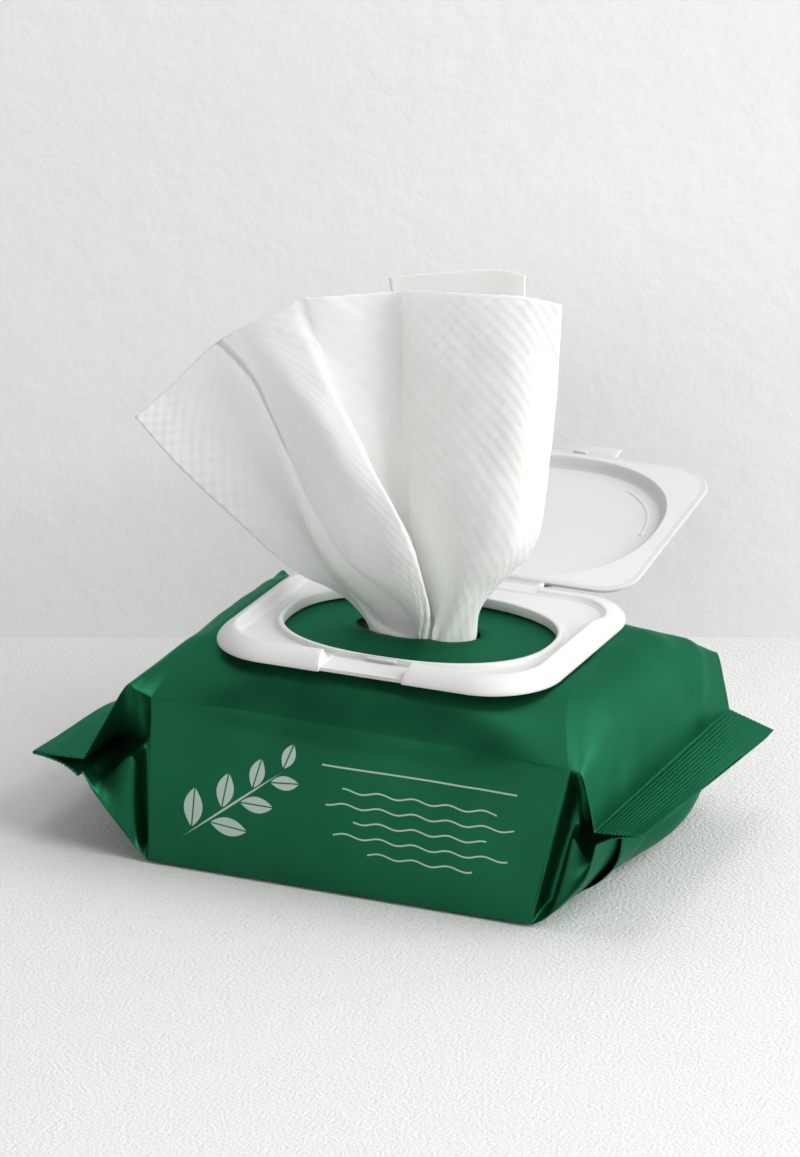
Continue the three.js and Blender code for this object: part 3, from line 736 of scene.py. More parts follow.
@dataclass(frozen=True)
class PhotoCamera:
    """The camera of the photograph, as fitted to the pack's edges in it."""

    azimuth: float = 23.66
    elevation: float = 19.82
    distance: float = 1779.5
    target: Vec = (-3.08, 0.0, 74.2)
    lens: float = 202.25
    sensor: float = 36.0
    photo: tuple[int, int] = (800, 1157)

    @property
    def back(self) -> Vec:
        """The direction from the target to the camera."""
        a, e = math.radians(self.azimuth), math.radians(self.elevation)
        return math.sin(a) * math.cos(e), -math.cos(a) * math.cos(e), math.sin(e)

    def on_plane(self, pixel: tuple[int, int], y: float) -> Vec:
        """Find the point of a plane that a pixel of the photograph shows.

        Args:
            pixel: Column and row in the photograph.
            y: Where the plane, which faces the front, stands.

        Returns:
            The point, to a tenth of a millimetre.
        """
        a = math.radians(self.azimuth)
        back, right = np.array(self.back), np.array([math.cos(a), math.sin(a), 0.0])
        focal = self.lens / self.sensor * max(self.photo)
        across, down = (pixel[k] - self.photo[k] / 2 for k in range(2))
        sight = -back + (right * across - np.cross(back, right) * down) / focal
        place = np.array(self.target) + back * self.distance
        point = place + sight * (y - place[1]) / sight[1]
        return round(float(point[0]), 1), y, round(float(point[2]), 1)


# Film pouch


@dataclass(frozen=True)
class PouchEnd:
    """Paths of one end of the pouch, as x and z, from the straight body to the seal."""

    edge: tuple[Pair, ...]
    crown: tuple[Pair, ...]
    keel: tuple[Pair, ...]
    knee_bulge: float
    front_droop: Pair
    cut: Pair
    lean: float
    lean_from: float
    rear_sag: float = 0.0
    front_tight: float = 0.0


@dataclass
class Station:
    """Where one section of the pouch stands."""

    edge: np.ndarray
    crown: np.ndarray
    keel: np.ndarray
    bulge: float = 0.0
    droop: Pair = (0.0, 0.0)
    lean: float = 0.0
    lean_from: float = 0.0
    sag: float = 0.0
    crimp: float = 0.0
    corner: float = 1.0
    tight: float = 0.0
    tuck: Pair = (0.12, 0.0)
    ledge: Pair = (0.10, 0.0)


@dataclass(frozen=True)
class Crease:
    """A soft fold in the film, raised where the height is positive."""

    start: Vec
    end: Vec
    width: float
    height: float

    def lift(self, points: np.ndarray) -> np.ndarray:
        """Find how far each point moves along its normal."""
        a, b = np.array(self.start), np.array(self.end)
        run = b - a
        t = np.clip((points - a) @ run / max(float(run @ run), 1e-9), 0.0, 1.0)
        gap = np.linalg.norm(points - a - t[..., None] * run, axis=-1)
        return self.height * np.exp(-((gap / self.width) ** 2)) * np.sin(np.pi * (0.1 + 0.8 * t))


@dataclass
class FilmPouch:
    """The gusseted film pouch with its two crimped end seals and the fin seal underneath."""

    top_points: int = 85
    half_depth: float = 50.0
    shoulder_start: Pair = (34.0, 24.0)
    shoulder_power: Pair = (1.8, 1.5)
    corner_zone: tuple[float, float, float] = (4.0, 25.0, 50.0)
    roll: Pair = (1.7, 7.0)
    top: float = 59.8
    floor: float = 0.3
    heel: float = 0.6
    film: float = 0.22
    slot_centre: Pair = (1.8, 1.6)
    slot_half: Pair = (18.2, 8.8)
    crimp_ribs: int = 12
    crimp_height: float = 0.11
    fin_root: float = -11.0
    fin_free: float = -30.0
    fin_stand: float = 1.9
    bulge_at: Pair = (12.0, 27.0)
    mouth_at: float = 0.12
    mouth_depth: float = 5.0
    tuck_share: Pair = (0.12, 0.5)
    tuck_depth: float = 25.0
    ledge_share: tuple[float, float, float] = (0.1, 0.5, 0.04)
    ledge_depth: float = 7.0
    left: PouchEnd = PouchEnd(
        edge=((-55, 48.9), (-59.2, 50.4), (-62.6, 51), (-69.6, 39), (-76, 27.6)),
        crown=((-50, 59.6), (-56, 57.2), (-61.5, 50.5), (-68.5, 38.5), (-76, 27.6)),
        keel=((-56.8, 0), (-61, 2.6), (-67, 8.4), (-73, 16.5), (-76.3, 25.9)),
        knee_bulge=-1.5, front_droop=(-1.3, -4.2), cut=(-91.3, 27.2), lean=-0.035, lean_from=-50.0,
        rear_sag=-5.0, front_tight=6.5,
    )
    right: PouchEnd = PouchEnd(
        edge=((67.8, 47.1), (70, 46.8), (71.6, 45.6), (73.6, 37.5), (75, 30.4)),
        crown=((58, 59.6), (65.5, 57.2), (71.5, 51), (74, 40), (75, 30.4)),
        keel=((56.8, 0), (62, 3.6), (67, 9.2), (72.5, 17.5), (75.2, 28.7)),
        knee_bulge=8.0, front_droop=(0.4, -2.2), cut=(88.3, 28.8), lean=-0.05, lean_from=0.0,
    )
    creases: tuple[Crease, ...] = (
        Crease((66.0, 40.0, 54.0), (73.0, 27.0, 38.0), 3.6, 1.3),
        Crease((61.0, 34.0, 57.0), (71.0, 18.0, 42.0), 5.0, -1.1),
        Crease((4.0, -8.0, 59.8), (12.0, -7.6, 59.8), 2.6, 0.7),
        Crease((-30.0, -50.0, 30.0), (10.0, -50.0, 20.0), 14.0, 0.5),
        Crease((40.0, -50.0, 40.0), (58.0, -50.0, 8.0), 7.0, -0.5),
        Crease((-58.0, 20.0, 56.0), (-70.0, 34.0, 38.0), 6.0, -0.8),
        Crease((-58.0, -18.0, 56.0), (-70.0, -30.0, 38.0), 6.0, -0.7),
        Crease((70.0, -20.0, 50.0), (74.0, -34.0, 34.0), 6.0, -0.5),
    )

    def _end_station(self, end: PouchEnd, t: float) -> Station:
        """Find the section at t from the body (0) to the seal (1)."""
        edge, crown, keel = (np.array(path, float) for path in (end.edge, end.crown, end.keel))
        dip = self.mouth_depth * (t / self.mouth_at) * math.exp(1 - t / self.mouth_at)
        beside, folded = self.tuck_share
        low, wide, closed = self.ledge_share
        return Station(
            edge=catmull_rom(edge, t), crown=catmull_rom(crown, t), keel=catmull_rom(keel, t),
            bulge=end.knee_bulge * math.sin(math.pi * t),
            droop=(end.front_droop[0] * t**3, end.front_droop[1] * t**3),
            tight=end.front_tight * t * (1 - t**8),
            tuck=(
                lerp(beside, folded, float(smoothstep(t, 0.0, 0.5))),
                self.tuck_depth * t**1.1 + dip,
            ),
            ledge=(
                lerp(low, wide, float(smoothstep(t, 0.15, 0.35)))
                - (wide - closed) * float(smoothstep(t, 0.35, 0.92)),
                dip * (1 - float(smoothstep(t, 0.22, 0.45))) + self.ledge_depth * t,
            ),
        )

    def _seal_station(self, end: PouchEnd, u: float) -> Station:
        """Find the section at u from the start of a seal (0) to its cut edge (1)."""
        station = self._end_station(end, 1.0)
        inner, outer = np.array(end.edge[-1], float), np.array(end.cut)
        gap = lerp(float(inner[1] - end.keel[-1][1]), 0.7, min(1.0, 3 * u))
        station.edge = inner + (outer - inner) * u
        station.crown = station.edge
        station.keel = station.edge - np.array([0.3 * math.copysign(1 - u, -inner[0]), gap])
        left_open = (1 - u) ** 1.6
        station.droop = (end.front_droop[0] * left_open, end.front_droop[1] * left_open)
        station.lean, station.lean_from = end.lean * u, end.lean_from
        station.sag = end.rear_sag * u
        fade = float(smoothstep(u, 0.0, 0.1)) * (1 - 0.75 * float(smoothstep(u, 0.72, 0.82)))
        station.crimp = self.crimp_height * math.cos(2 * math.pi * self.crimp_ribs * u) * fade
        return station

    def _body_station(self, s: float) -> Station:
        """Find the section at s along the straight body."""
        a, b = self._end_station(self.left, 0.0), self._end_station(self.right, 0.0)
        edge, crown, keel = (
            lerp(getattr(a, path), getattr(b, path), s) for path in ("edge", "crown", "keel")
        )
        crown = np.array([crown[0], lerp(crown[1], self.top, float(smoothstep(min(s, 1 - s), 0.0, 0.12)))])
        middle, near, far = self.corner_zone
        corner = float(smoothstep(abs(crown[0] - middle), near, far))
        return Station(edge, crown, keel, corner=corner)

    def _stations(self) -> list[Station]:
        """List the sections from the left cut edge to the right one."""
        seal, end, body = 52, 36, 70
        sections = [self._seal_station(self.left, i / seal) for i in range(seal, 0, -1)]
        sections += [self._end_station(self.left, i / end) for i in range(end, 0, -1)]
        even = np.linspace(0.0, 1.0, body + 1)
        sections += [self._body_station(float(t)) for t in even - 0.12 * np.sin(2 * math.pi * even)]
        sections += [self._end_station(self.right, i / end) for i in range(1, end + 1)]
        sections += [self._seal_station(self.right, i / seal) for i in range(1, seal + 1)]
        return sections

    def _keel_points(self, s: Station, y: np.ndarray) -> np.ndarray:
        """Find the underside of a section at each y."""
        half = self.half_depth
        front = np.maximum(0.0, (-y - half / 2) / (half / 2))
        full, width = self.bulge_at
        x = s.keel[0] + s.droop[0] * front + s.bulge * np.exp(-(((y - full) / width) ** 2))
        z = np.maximum(s.keel[1], self.floor) + (s.droop[1] + s.tight) * front
        z = z + self.heel * smoothstep(np.abs(y), half - 9.0, half) ** 2
        return np.stack([x, y, z], -1)

    def _ring(self, s: Station) -> np.ndarray:
        """Draw one section: top panel, rear tuck, underside, front tuck."""
        half = self.half_depth
        y = half * np.sin(np.linspace(-0.46, 0.46, self.top_points) * math.pi) / math.sin(0.46 * math.pi)
        start = lerp(*self.shoulder_start, s.corner)
        reach = np.maximum(0.0, np.abs(y) - start) / (half - start)
        rise = 1 - np.minimum(1.0, reach) ** lerp(*self.shoulder_power, s.corner)
        y *= 1 - self.roll[0] * (1 - s.corner) / half
        top = np.stack([s.edge[0] + (s.crown[0] - s.edge[0]) * rise, y,
                        s.edge[1] + (s.crown[1] - s.edge[1]) * rise], -1)
        sides = {sign: self._side(s, sign) for sign in (1, -1)}
        under = self._keel_points(s, half * np.cos(np.linspace(0.0, math.pi, 33)))
        ring = np.concatenate([top, sides[1], under, sides[-1][::-1]])
        ring[:, 2] += s.lean * (ring[:, 1] - s.lean_from) + s.crimp
        ring[:, 2] += s.sag * smoothstep(ring[:, 1], -12.0, 34.0)
        return ring

    def _side(self, s: Station, sign: int) -> np.ndarray:
        """Draw a side panel: from its top edge in to the tuck, out to the ledge and on to the bottom."""
        def at(share: float, depth: float) -> np.ndarray:
            y = sign * (self.half_depth - depth)
            upper, lower = np.array([s.edge[0], y, s.edge[1]]), self._keel_points(s, np.array([y]))[0]
            return upper + (lower - upper) * share

        corners = [at(0.0, 0.0), at(*s.tuck), at(1 - s.ledge[0], s.ledge[1]), at(1.0, 0.0)]
        side = []
        for start, end, steps in zip(corners, corners[1:], (9, 17, 9)):
            share = (1 - np.cos(np.linspace(0.0, math.pi, steps + 1)[1:, None])) / 2
            side.append(start + (end - start) * share)
        side = np.concatenate(side)[:-1]
        inward, depth = self.roll
        down = np.clip((s.edge[1] - side[:, 2]) / depth, 0.0, 1.0)
        side[:, 1] -= sign * inward * (1 - s.corner) * (1 - down) ** 2
        return side

    def _wrinkle(self, grid: np.ndarray) -> np.ndarray:
        """Lift and press the film along its creases, with a slight unevenness everywhere."""
        normals = grid_normals(grid, closed=True)
        middle_of_top = normals[len(grid) // 2, self.top_points // 2]
        if middle_of_top[2] < 0:
            normals = -normals
        lift = np.zeros(grid.shape[:2])
        for crease in self.creases:
            lift += crease.lift(grid)
        lift += 0.55 * soft_noise(grid, 26.0) + 0.12 * soft_noise(grid, 9.0, Vector((7, 3, 1)))
        x, y, z = grid[..., 0], grid[..., 1], grid[..., 2]
        calm = smoothstep(z, 1.0, 6.0)
        under_frame = (np.abs(x - 3.5) < 49) & (np.abs(y) < 40) & (z > 57)
        near_slot = ((x - 6) / 12) ** 2 + ((y + 7) / 5) ** 2 < 1
        calm = np.where(under_frame & ~near_slot, 0.12 * calm, calm)
        calm *= 1 - 0.4 * smoothstep(np.maximum(-x - 74, x - 73), 0.0, 4.0)
        return grid + normals * (lift * calm)[..., None]

    def _open_slot(self, grid: np.ndarray) -> tuple[np.ndarray, np.ndarray]:
        """Leave out the faces inside the slot and draw the points round it onto its outline.

        Args:
            grid: The pouch's sections.

        Returns:
            The points and the faces that stay.
        """
        points = grid.reshape(-1, 3).copy()
        faces = grid_faces(grid.shape[0], grid.shape[1], closed=True)
        cx, cy = self.slot_centre
        hx, hy = self.slot_half
        radius = np.hypot((points[:, 0] - cx) / hx, (points[:, 1] - cy) / hy)
        upper = points[:, 2] > self.top - 4
        inside = np.all((radius[faces] < 1.12) & upper[faces], axis=1)
        kept, cut = faces[~inside], faces[inside]
        rim = np.intersect1d(np.unique(kept), np.unique(cut))
        centre = np.array([cx, cy])
        points[rim, :2] = centre + (points[rim, :2] - centre) / radius[rim, None]
        used, renumbered = np.unique(kept, return_inverse=True)
        return points[used], renumbered.reshape(kept.shape)

    def _fin_grid(self) -> np.ndarray:
        """Draw the fin seal's flap along the underside and up both ends."""
        ends = 24
        stations = [(self._end_station(self.left, i / ends), i / ends, -1) for i in range(ends - 1, 0, -1)]
        stations += [(self._body_station(i / 20), 0.0, 1) for i in range(21)]
        stations += [(self._end_station(self.right, i / ends), i / ends, 1) for i in range(1, ends)]
        rows = []
        share = np.linspace(0.0, 1.0, 9)
        y = self.fin_root + (self.fin_free - self.fin_root) * share
        for s, t, sign in stations:
            points = self._keel_points(s, y)
            stand = self.fin_stand * math.sin(math.pi * min(max((t - 0.3) / 0.65, 0.0), 1.0))
            points += share[:, None] ** 0.8 * stand * np.array([0.84 * sign, 0.0, -0.54])
            points[:, 2] = np.maximum(points[:, 2] - 0.16, 0.14)
            rows.append(points)
        return np.array(rows)

    def build(self, finish: FilmFinish) -> list[bpy.types.Object]:
        """Make the pouch and its fin seal.

        Args:
            finish: The film's material.

        Returns:
            Both pieces.
        """
        grid = self._wrinkle(np.array([self._ring(s) for s in self._stations()]))
        points, faces = self._open_slot(grid)
        pouch = mesh_object("film_pouch", points, faces)
        if self._encloses_backwards(points, faces):
            pouch.data.flip_normals()
        thicken(pouch, self.film, -1.0)
        fin = self._fin_grid()
        flap = mesh_object("fin_seal", fin, grid_faces(fin.shape[0], fin.shape[1]))
        thicken(flap, 0.24, 0.0)
        material = finish.material()
        for piece in (pouch, flap):
            piece.data.materials.append(material)
            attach(piece, Body.PACK.value)
        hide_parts("film_wrap")
        return [pouch, flap]

    @staticmethod
    def _encloses_backwards(points: np.ndarray, faces: np.ndarray) -> bool:
        """Say whether the faces point inwards, from the volume that they enclose."""
        a, b, c, d = (points[faces[:, k]] for k in range(4))
        volume = np.sum(a * np.cross(b, c)) + np.sum(a * np.cross(c, d))
        return bool(volume < 0)


# Flip-top frame and lid


def rect_radius(angle: np.ndarray, half: Pair, corner: float) -> np.ndarray:
    """Distance from the middle to the outline of a rounded rectangle in each direction."""
    c, s = np.abs(np.cos(angle)), np.abs(np.sin(angle))
    flat_x, flat_y = half[0] - corner, half[1] - corner
    along = c * flat_x + s * flat_y
    reach = flat_x**2 + flat_y**2 - corner**2
    round_part = along + np.sqrt(np.maximum(along**2 - reach, 0.0))
    on_side = half[0] * s <= flat_y * c
    on_end = half[1] * c <= flat_x * s
    return np.where(on_side, half[0] / np.maximum(c, 1e-9),
                    np.where(on_end, half[1] / np.maximum(s, 1e-9), round_part))


def even_angles(half: Pair, corner: float, count: int) -> np.ndarray:
    """Directions that step evenly along the outline of a rounded rectangle."""
    dense = np.linspace(0.0, 2 * math.pi, 2881)
    r = rect_radius(dense, half, corner)
    outline = np.stack([r * np.cos(dense), r * np.sin(dense)], 1)
    run = np.concatenate([[0.0], np.cumsum(np.linalg.norm(np.diff(outline, axis=0), axis=1))])
    return np.interp(np.arange(count) * run[-1] / count, run, dense)


@dataclass(frozen=True)
class Mouth:
    """An oval, by its middle, its half sizes and how square it is."""

    x: float = 0.8
    y: float = -3.2
    half_x: float = 38.3
    half_y: float = 26.8
    power: float = 2.3

    def outline(self, angles: np.ndarray, grow: float) -> np.ndarray:
        """Draw the oval, grown outwards, about the frame's middle, as x and y."""
        c = np.abs(np.cos(angles)) / (self.half_x + grow)
        s = np.abs(np.sin(angles)) / (self.half_y + grow)
        r = (c**self.power + s**self.power) ** (-1 / self.power)
        return np.stack([self.x + r * np.cos(angles), self.y + r * np.sin(angles)], 1)


@dataclass
class FlipTopFrame:
    """The white frame on the film: raised bank, recessed floor, oval lip, thumb notch, hinge gap."""

    mouth: Mouth
    x: float = 3.5
    z: float = 60.2
    half: Pair = (50.0, 41.25)
    corner: float = 19.8
    rear_drop: float = 0.48
    bank: tuple[Pair, ...] = (
        (0.0, 0.05), (0.0, 0.6), (0.2, 1.1), (0.6, 1.75), (1.2, 2.45), (2.0, 3.15), (3.0, 3.85),
        (3.9, 4.35), (4.55, 4.62), (5.05, 4.7), (5.4, 4.6), (5.65, 4.3), (5.9, 3.5), (6.15, 2.7),
        (6.45, 1.85), (6.9, 1.4), (7.8, 1.3),
    )
    lip: tuple[Pair, ...] = (
        (3.4, 1.3), (2.4, 1.34), (1.95, 1.6), (1.65, 2.35), (1.35, 2.8), (0.95, 2.93), (0.5, 2.9),
        (0.15, 2.7), (0.0, 2.3), (0.0, 0.05),
    )
    notch: tuple[float, float, float, float, float] = (-12.6, 11.8, 1.6, -31.0, 1.1)
    gap: tuple[float, float, float] = (20.0, 31.0, 1.8)

    def _bank_ring(self, angles: np.ndarray, inset: float, height: float) -> np.ndarray:
        """Draw one line of the bank; it is lower along the rear."""
        corner = max(2.0, self.corner - inset)
        r = rect_radius(angles, (self.half[0] - inset, self.half[1] - inset), corner)
        y = r * np.sin(angles)
        rear = smoothstep(y, 12.0, 25.0)
        kept = min(height, 1.0) + max(0.0, height - 1) * (1 + (self.rear_drop - 1) * rear)
        z = np.maximum(kept, min(height, 1.8))
        return np.stack([self.x + r * np.cos(angles), y, self.z + z], 1)

    def _lip_ring(self, angles: np.ndarray, grow: float, height: float) -> np.ndarray:
        """Draw one line of the lip round the mouth."""
        oval = self.mouth.outline(angles, grow)
        return np.stack([self.x + oval[:, 0], oval[:, 1], np.full(len(angles), self.z + height)], 1)

    def build(self, plastic: bpy.types.Material) -> bpy.types.Object:
        """Make the frame."""
        angles = even_angles(self.half, self.corner, 180)
        loft = OutlineLoft("flip_top_frame", self._bank_ring(angles, *self.bank[0]))
        for inset, height in self.bank[1:]:
            loft.extrude_to(self._bank_ring(angles, inset, height))
        for grow, height in self.lip:
            loft.extrude_to(self._lip_ring(angles, grow, height))
        loft.bridge_ends()
        piece = loft.finish()
        cut_away(piece, self._notch_cutter())
        cut_away(piece, self._edge_cutter())
        cut_away(piece, self._gap_cutter())
        join_solids(piece, self._snap_rib())
        apply_modifier(piece, "BEVEL", width=0.22 * MM, segments=2, limit_method="ANGLE",
                       angle_limit=math.radians(50), harden_normals=False)
        smooth_by_angle(piece, 35)
        piece.data.materials.append(plastic)
        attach(piece, Body.PACK.value)
        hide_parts("lid_frame")
        return piece

    def _notch_cutter(self) -> bpy.types.Object:
        """Shape the block that opens the thumb notch, wider at the top."""
        left, right, slope, inner, ledge = self.notch
        low = self.z + ledge

        def flare(corner: Vector) -> None:
            if corner.z > low:
                corner.x += math.copysign(slope, corner.x - self.x)

        return shaped_block("notch_cutter", (self.x + left, -self.half[1] - 4, low),
                            (self.x + right, inner, low + 6), flare)

    def _edge_cutter(self) -> bpy.types.Object:
        """Shape the block that sets the ledge back from the front edge."""
        left, right, _, _, ledge = self.notch
        return shaped_block("edge_cutter", (self.x + left, -self.half[1] - 4, self.z - 1),
                            (self.x + right, 0.9 - self.half[1], self.z + ledge + 3))

    def _gap_cutter(self) -> bpy.types.Object:
        """Shape the block that opens the rear bank for the hinge."""
        half, inner, floor = self.gap
        return shaped_block("gap_cutter", (self.x - half, inner, self.z + floor),
                            (self.x + half, self.half[1] + 4, self.z + 9), None, 0.8)

    def _snap_rib(self) -> bpy.types.Object:
        """Shape the rib that the lid's tab snaps under."""
        y = self.notch[3]
        return shaped_block("snap_rib", (self.x - 2.7, y - 0.6, self.z + 1.7),
                            (self.x + 6.0, y + 0.6, self.z + 2.5), None, 0.25)


@dataclass
class FlipLid:
    """The hinged lid with its oval dish, curved rib, catch and thumb tab, shown swung open."""

    bowl: Mouth = Mouth(x=0.8, y=-37.4, half_x=35.0, half_y=32.8)
    x: float = 3.5
    hinge: Pair = (41.0, 63.0)
    open_angle: float = 170.0
    half_width: float = 43.4
    rear: float = 1.2
    front: float = 75.3
    front_corner: float = 14.0
    rear_corner: float = 10.0
    under: float = 0.3
    wall: float = 1.2
    dome: float = 3.5
    tab: tuple[float, float, float] = (-11.4, 10.6, 80.6)
    dish: tuple[Pair, ...] = (
        (2.2, 0.0), (1.9, 0.08), (1.5, 0.25), (0.9, 0.6), (0.4, 0.85), (0.0, 0.96), (-1.4, 1.0),
    )
    arc: tuple[float, float, float] = (-0.95, -0.05, 2.9)

    def _rim(self, angles: np.ndarray, inset: float, z: float) -> np.ndarray:
        """Draw one line of the flange, about the hinge axis of the closed lid."""
        middle, half_depth = -(self.rear + self.front) / 2, (self.front - self.rear) / 2
        corner = np.where(np.sin(angles) > 0, self.rear_corner, self.front_corner) - inset * 0.6
        r = np.array([
            float(rect_radius(np.array([a]), (self.half_width - inset, half_depth - inset), float(c))[0])
            for a, c in zip(angles, corner)
        ])
        return np.stack([r * np.cos(angles), middle + r * np.sin(angles), np.full(len(angles), z)], 1)

    def _oval(self, angles: np.ndarray, grow: float, z: float) -> np.ndarray:
        """Draw the dish's oval in the given directions from its middle."""
        oval = self.bowl.outline(angles, grow)
        return np.stack([oval[:, 0], oval[:, 1], np.full(len(angles), z)], 1)

    def build(self, plastic: bpy.types.Material, thin: bpy.types.Material) -> bpy.types.Object:
        """Make the lid.

        Args:
            plastic: Material of the shell.
            thin: Material of the flange and tab, which let light through; its lighter colour is painted
                light.

        Returns:
            The lid.
        """
        angles = even_angles((self.half_width, (self.front - self.rear) / 2), 12.0, 168)
        low, top = self.under, self.under + self.wall
        loft = OutlineLoft("flip_lid", self._oval(angles, -24.0, top + self.dome + 0.35), capped=True)
        for grow, drop in ((-12.0, 0.3), (-4.0, 0.15)):
            loft.extrude_to(self._dish(angles, grow, top + self.dome + drop))
        for grow, rise in self.dish[::-1]:
            loft.extrude_to(self._dish(angles, grow + 0.7, top + 0.12 + self.dome * rise))
        flange = (
            (0.7, top + 0.1), (0.25, top - 0.1), (0.0, top - 0.4), (0.0, low + 0.2), (0.2, low + 0.04),
            (0.5, low), (1.6, low),
        )
        for inset, z in flange:
            loft.extrude_to(self._rim(angles, inset, z))
        for grow, rise in self.dish:
            loft.extrude_to(self._dish(angles, grow, low + (self.dome - 0.2) * rise))
        for grow, rise in ((-12.0, 0.05), (-24.0, 0.1)):
            loft.extrude_to(self._dish(angles, grow, low + self.dome + rise))
        loft.cap()
        piece = loft.finish()
        join_solids(piece, self._thumb_tab())
        join_solids(piece, self._arc_rib())
        join_solids(piece, self._catch())
        smooth_by_angle(piece, 35)
        piece.data.materials.append(plastic)
        piece.data.materials.append(thin)
        self._mark_thin_painted_light(piece)
        turn = Matrix.Rotation(math.radians(-self.open_angle), 4, "X")
        place = Matrix.Translation(Vector((self.x, self.hinge[0], self.hinge[1])) * MM)
        piece.data.transform(place @ turn)
        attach(piece, Body.LID.value)
        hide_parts("lid")
        return piece

    def _dish(self, angles: np.ndarray, grow: float, z: float) -> np.ndarray:
        """Draw one line of the dish, point for point in line with the rim."""
        rim = self._rim(angles, 0.0, 0.0)
        across, along = rim[:, 0] - self.bowl.x, rim[:, 1] - self.bowl.y
        return self._oval(np.arctan2(along, across), grow, z)

    def _mark_thin_painted_light(self, piece: bpy.types.Object) -> None:
        """Give the flange's edge and the tab the see-through plastic, whose lighter colour is painted
        light.
        """
        middle, half_depth = -(self.rear + self.front) / 2, (self.front - self.rear) / 2
        for face in piece.data.polygons:
            centre = face.center / MM
            x, y = centre.x, centre.y - middle
            half = (self.half_width - 1.5, half_depth - 1.5)
            edge = rect_radius(np.array([math.atan2(y, x)]), half, 12.0)
            face.material_index = int(math.hypot(x, y) > float(edge[0]))

    def _thumb_tab(self) -> bpy.types.Object:
        """Shape the tab that a thumb lifts."""
        left, right, reach = self.tab
        return shaped_block("thumb_tab", (left, -reach, self.under),
                            (right, 0.6 - self.front, self.under + self.wall), None, 0.4)

    def _arc_rib(self) -> bpy.types.Object:
        """Loft the low curved rib on the dish's floor, beside its wall."""
        first, last, inset = self.arc
        base = self.under + self.dome
        section = ((0.0, 0.5), (0.0, -0.25), (0.25, -0.42), (0.65, -0.42), (0.9, -0.25), (0.9, 0.5))
        steps = 28

        def outline(angle: float) -> np.ndarray:
            direction = np.array([angle])
            return np.concatenate([
                self._oval(direction, -inset - across, base + up) for across, up in section
            ])

        loft = OutlineLoft("arc_rib", outline(first), capped=True)
        for k in range(1, steps + 1):
            loft.extrude_to(outline(lerp(first, last, k / steps)))
        loft.cap()
        return loft.finish()

    def _catch(self) -> bpy.types.Object:
        """Shape the small catch behind the tab."""
        return shaped_block("catch", (-2.2, -75.8, self.under - 0.5),
                            (1.8, -74.8, self.under + 0.4), None, 0.2)


@dataclass
class HingeWeb:
    """The thin strip that joins frame and lid at the hinge."""

    x: float = 3.5
    half: float = 19.0
    thickness: float = 0.35
    path: tuple[Pair, ...] = ((40.75, 61.75), (41.1, 61.85), (41.45, 62.1), (41.68, 62.45), (41.8, 62.8))

    def build(self, plastic: bpy.types.Material) -> bpy.types.Object:
        """Make the strip."""
        columns = np.linspace(self.x - self.half, self.x + self.half, 21)
        grid = np.array([[(x, y, z) for x in columns] for y, z in self.path])
        piece = mesh_object("hinge_strip", grid, grid_faces(*grid.shape[:2]))
        thicken(piece, self.thickness, 0.0)
        piece.data.materials.append(plastic)
        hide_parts("hinge_web")
        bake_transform(piece)
        return piece


# Wipes


@dataclass(frozen=True)
class FoldLine:
    """One fold of the pulled wipe, from its foot at the film up to the wipe's top edge.

    The foot is an x and y. Above it the fold is given as the photograph shows it: the pixels it
    passes, column and row, and how far back (y) each of them stands.
    """

    foot: Pair
    seen: tuple[tuple[int, int], ...]
    depths: tuple[float, ...]

    def points(self, camera: PhotoCamera) -> list[Vec]:
        """Find where the fold runs above the film."""
        return [camera.on_plane(pixel, y) for pixel, y in zip(self.seen, self.depths)]


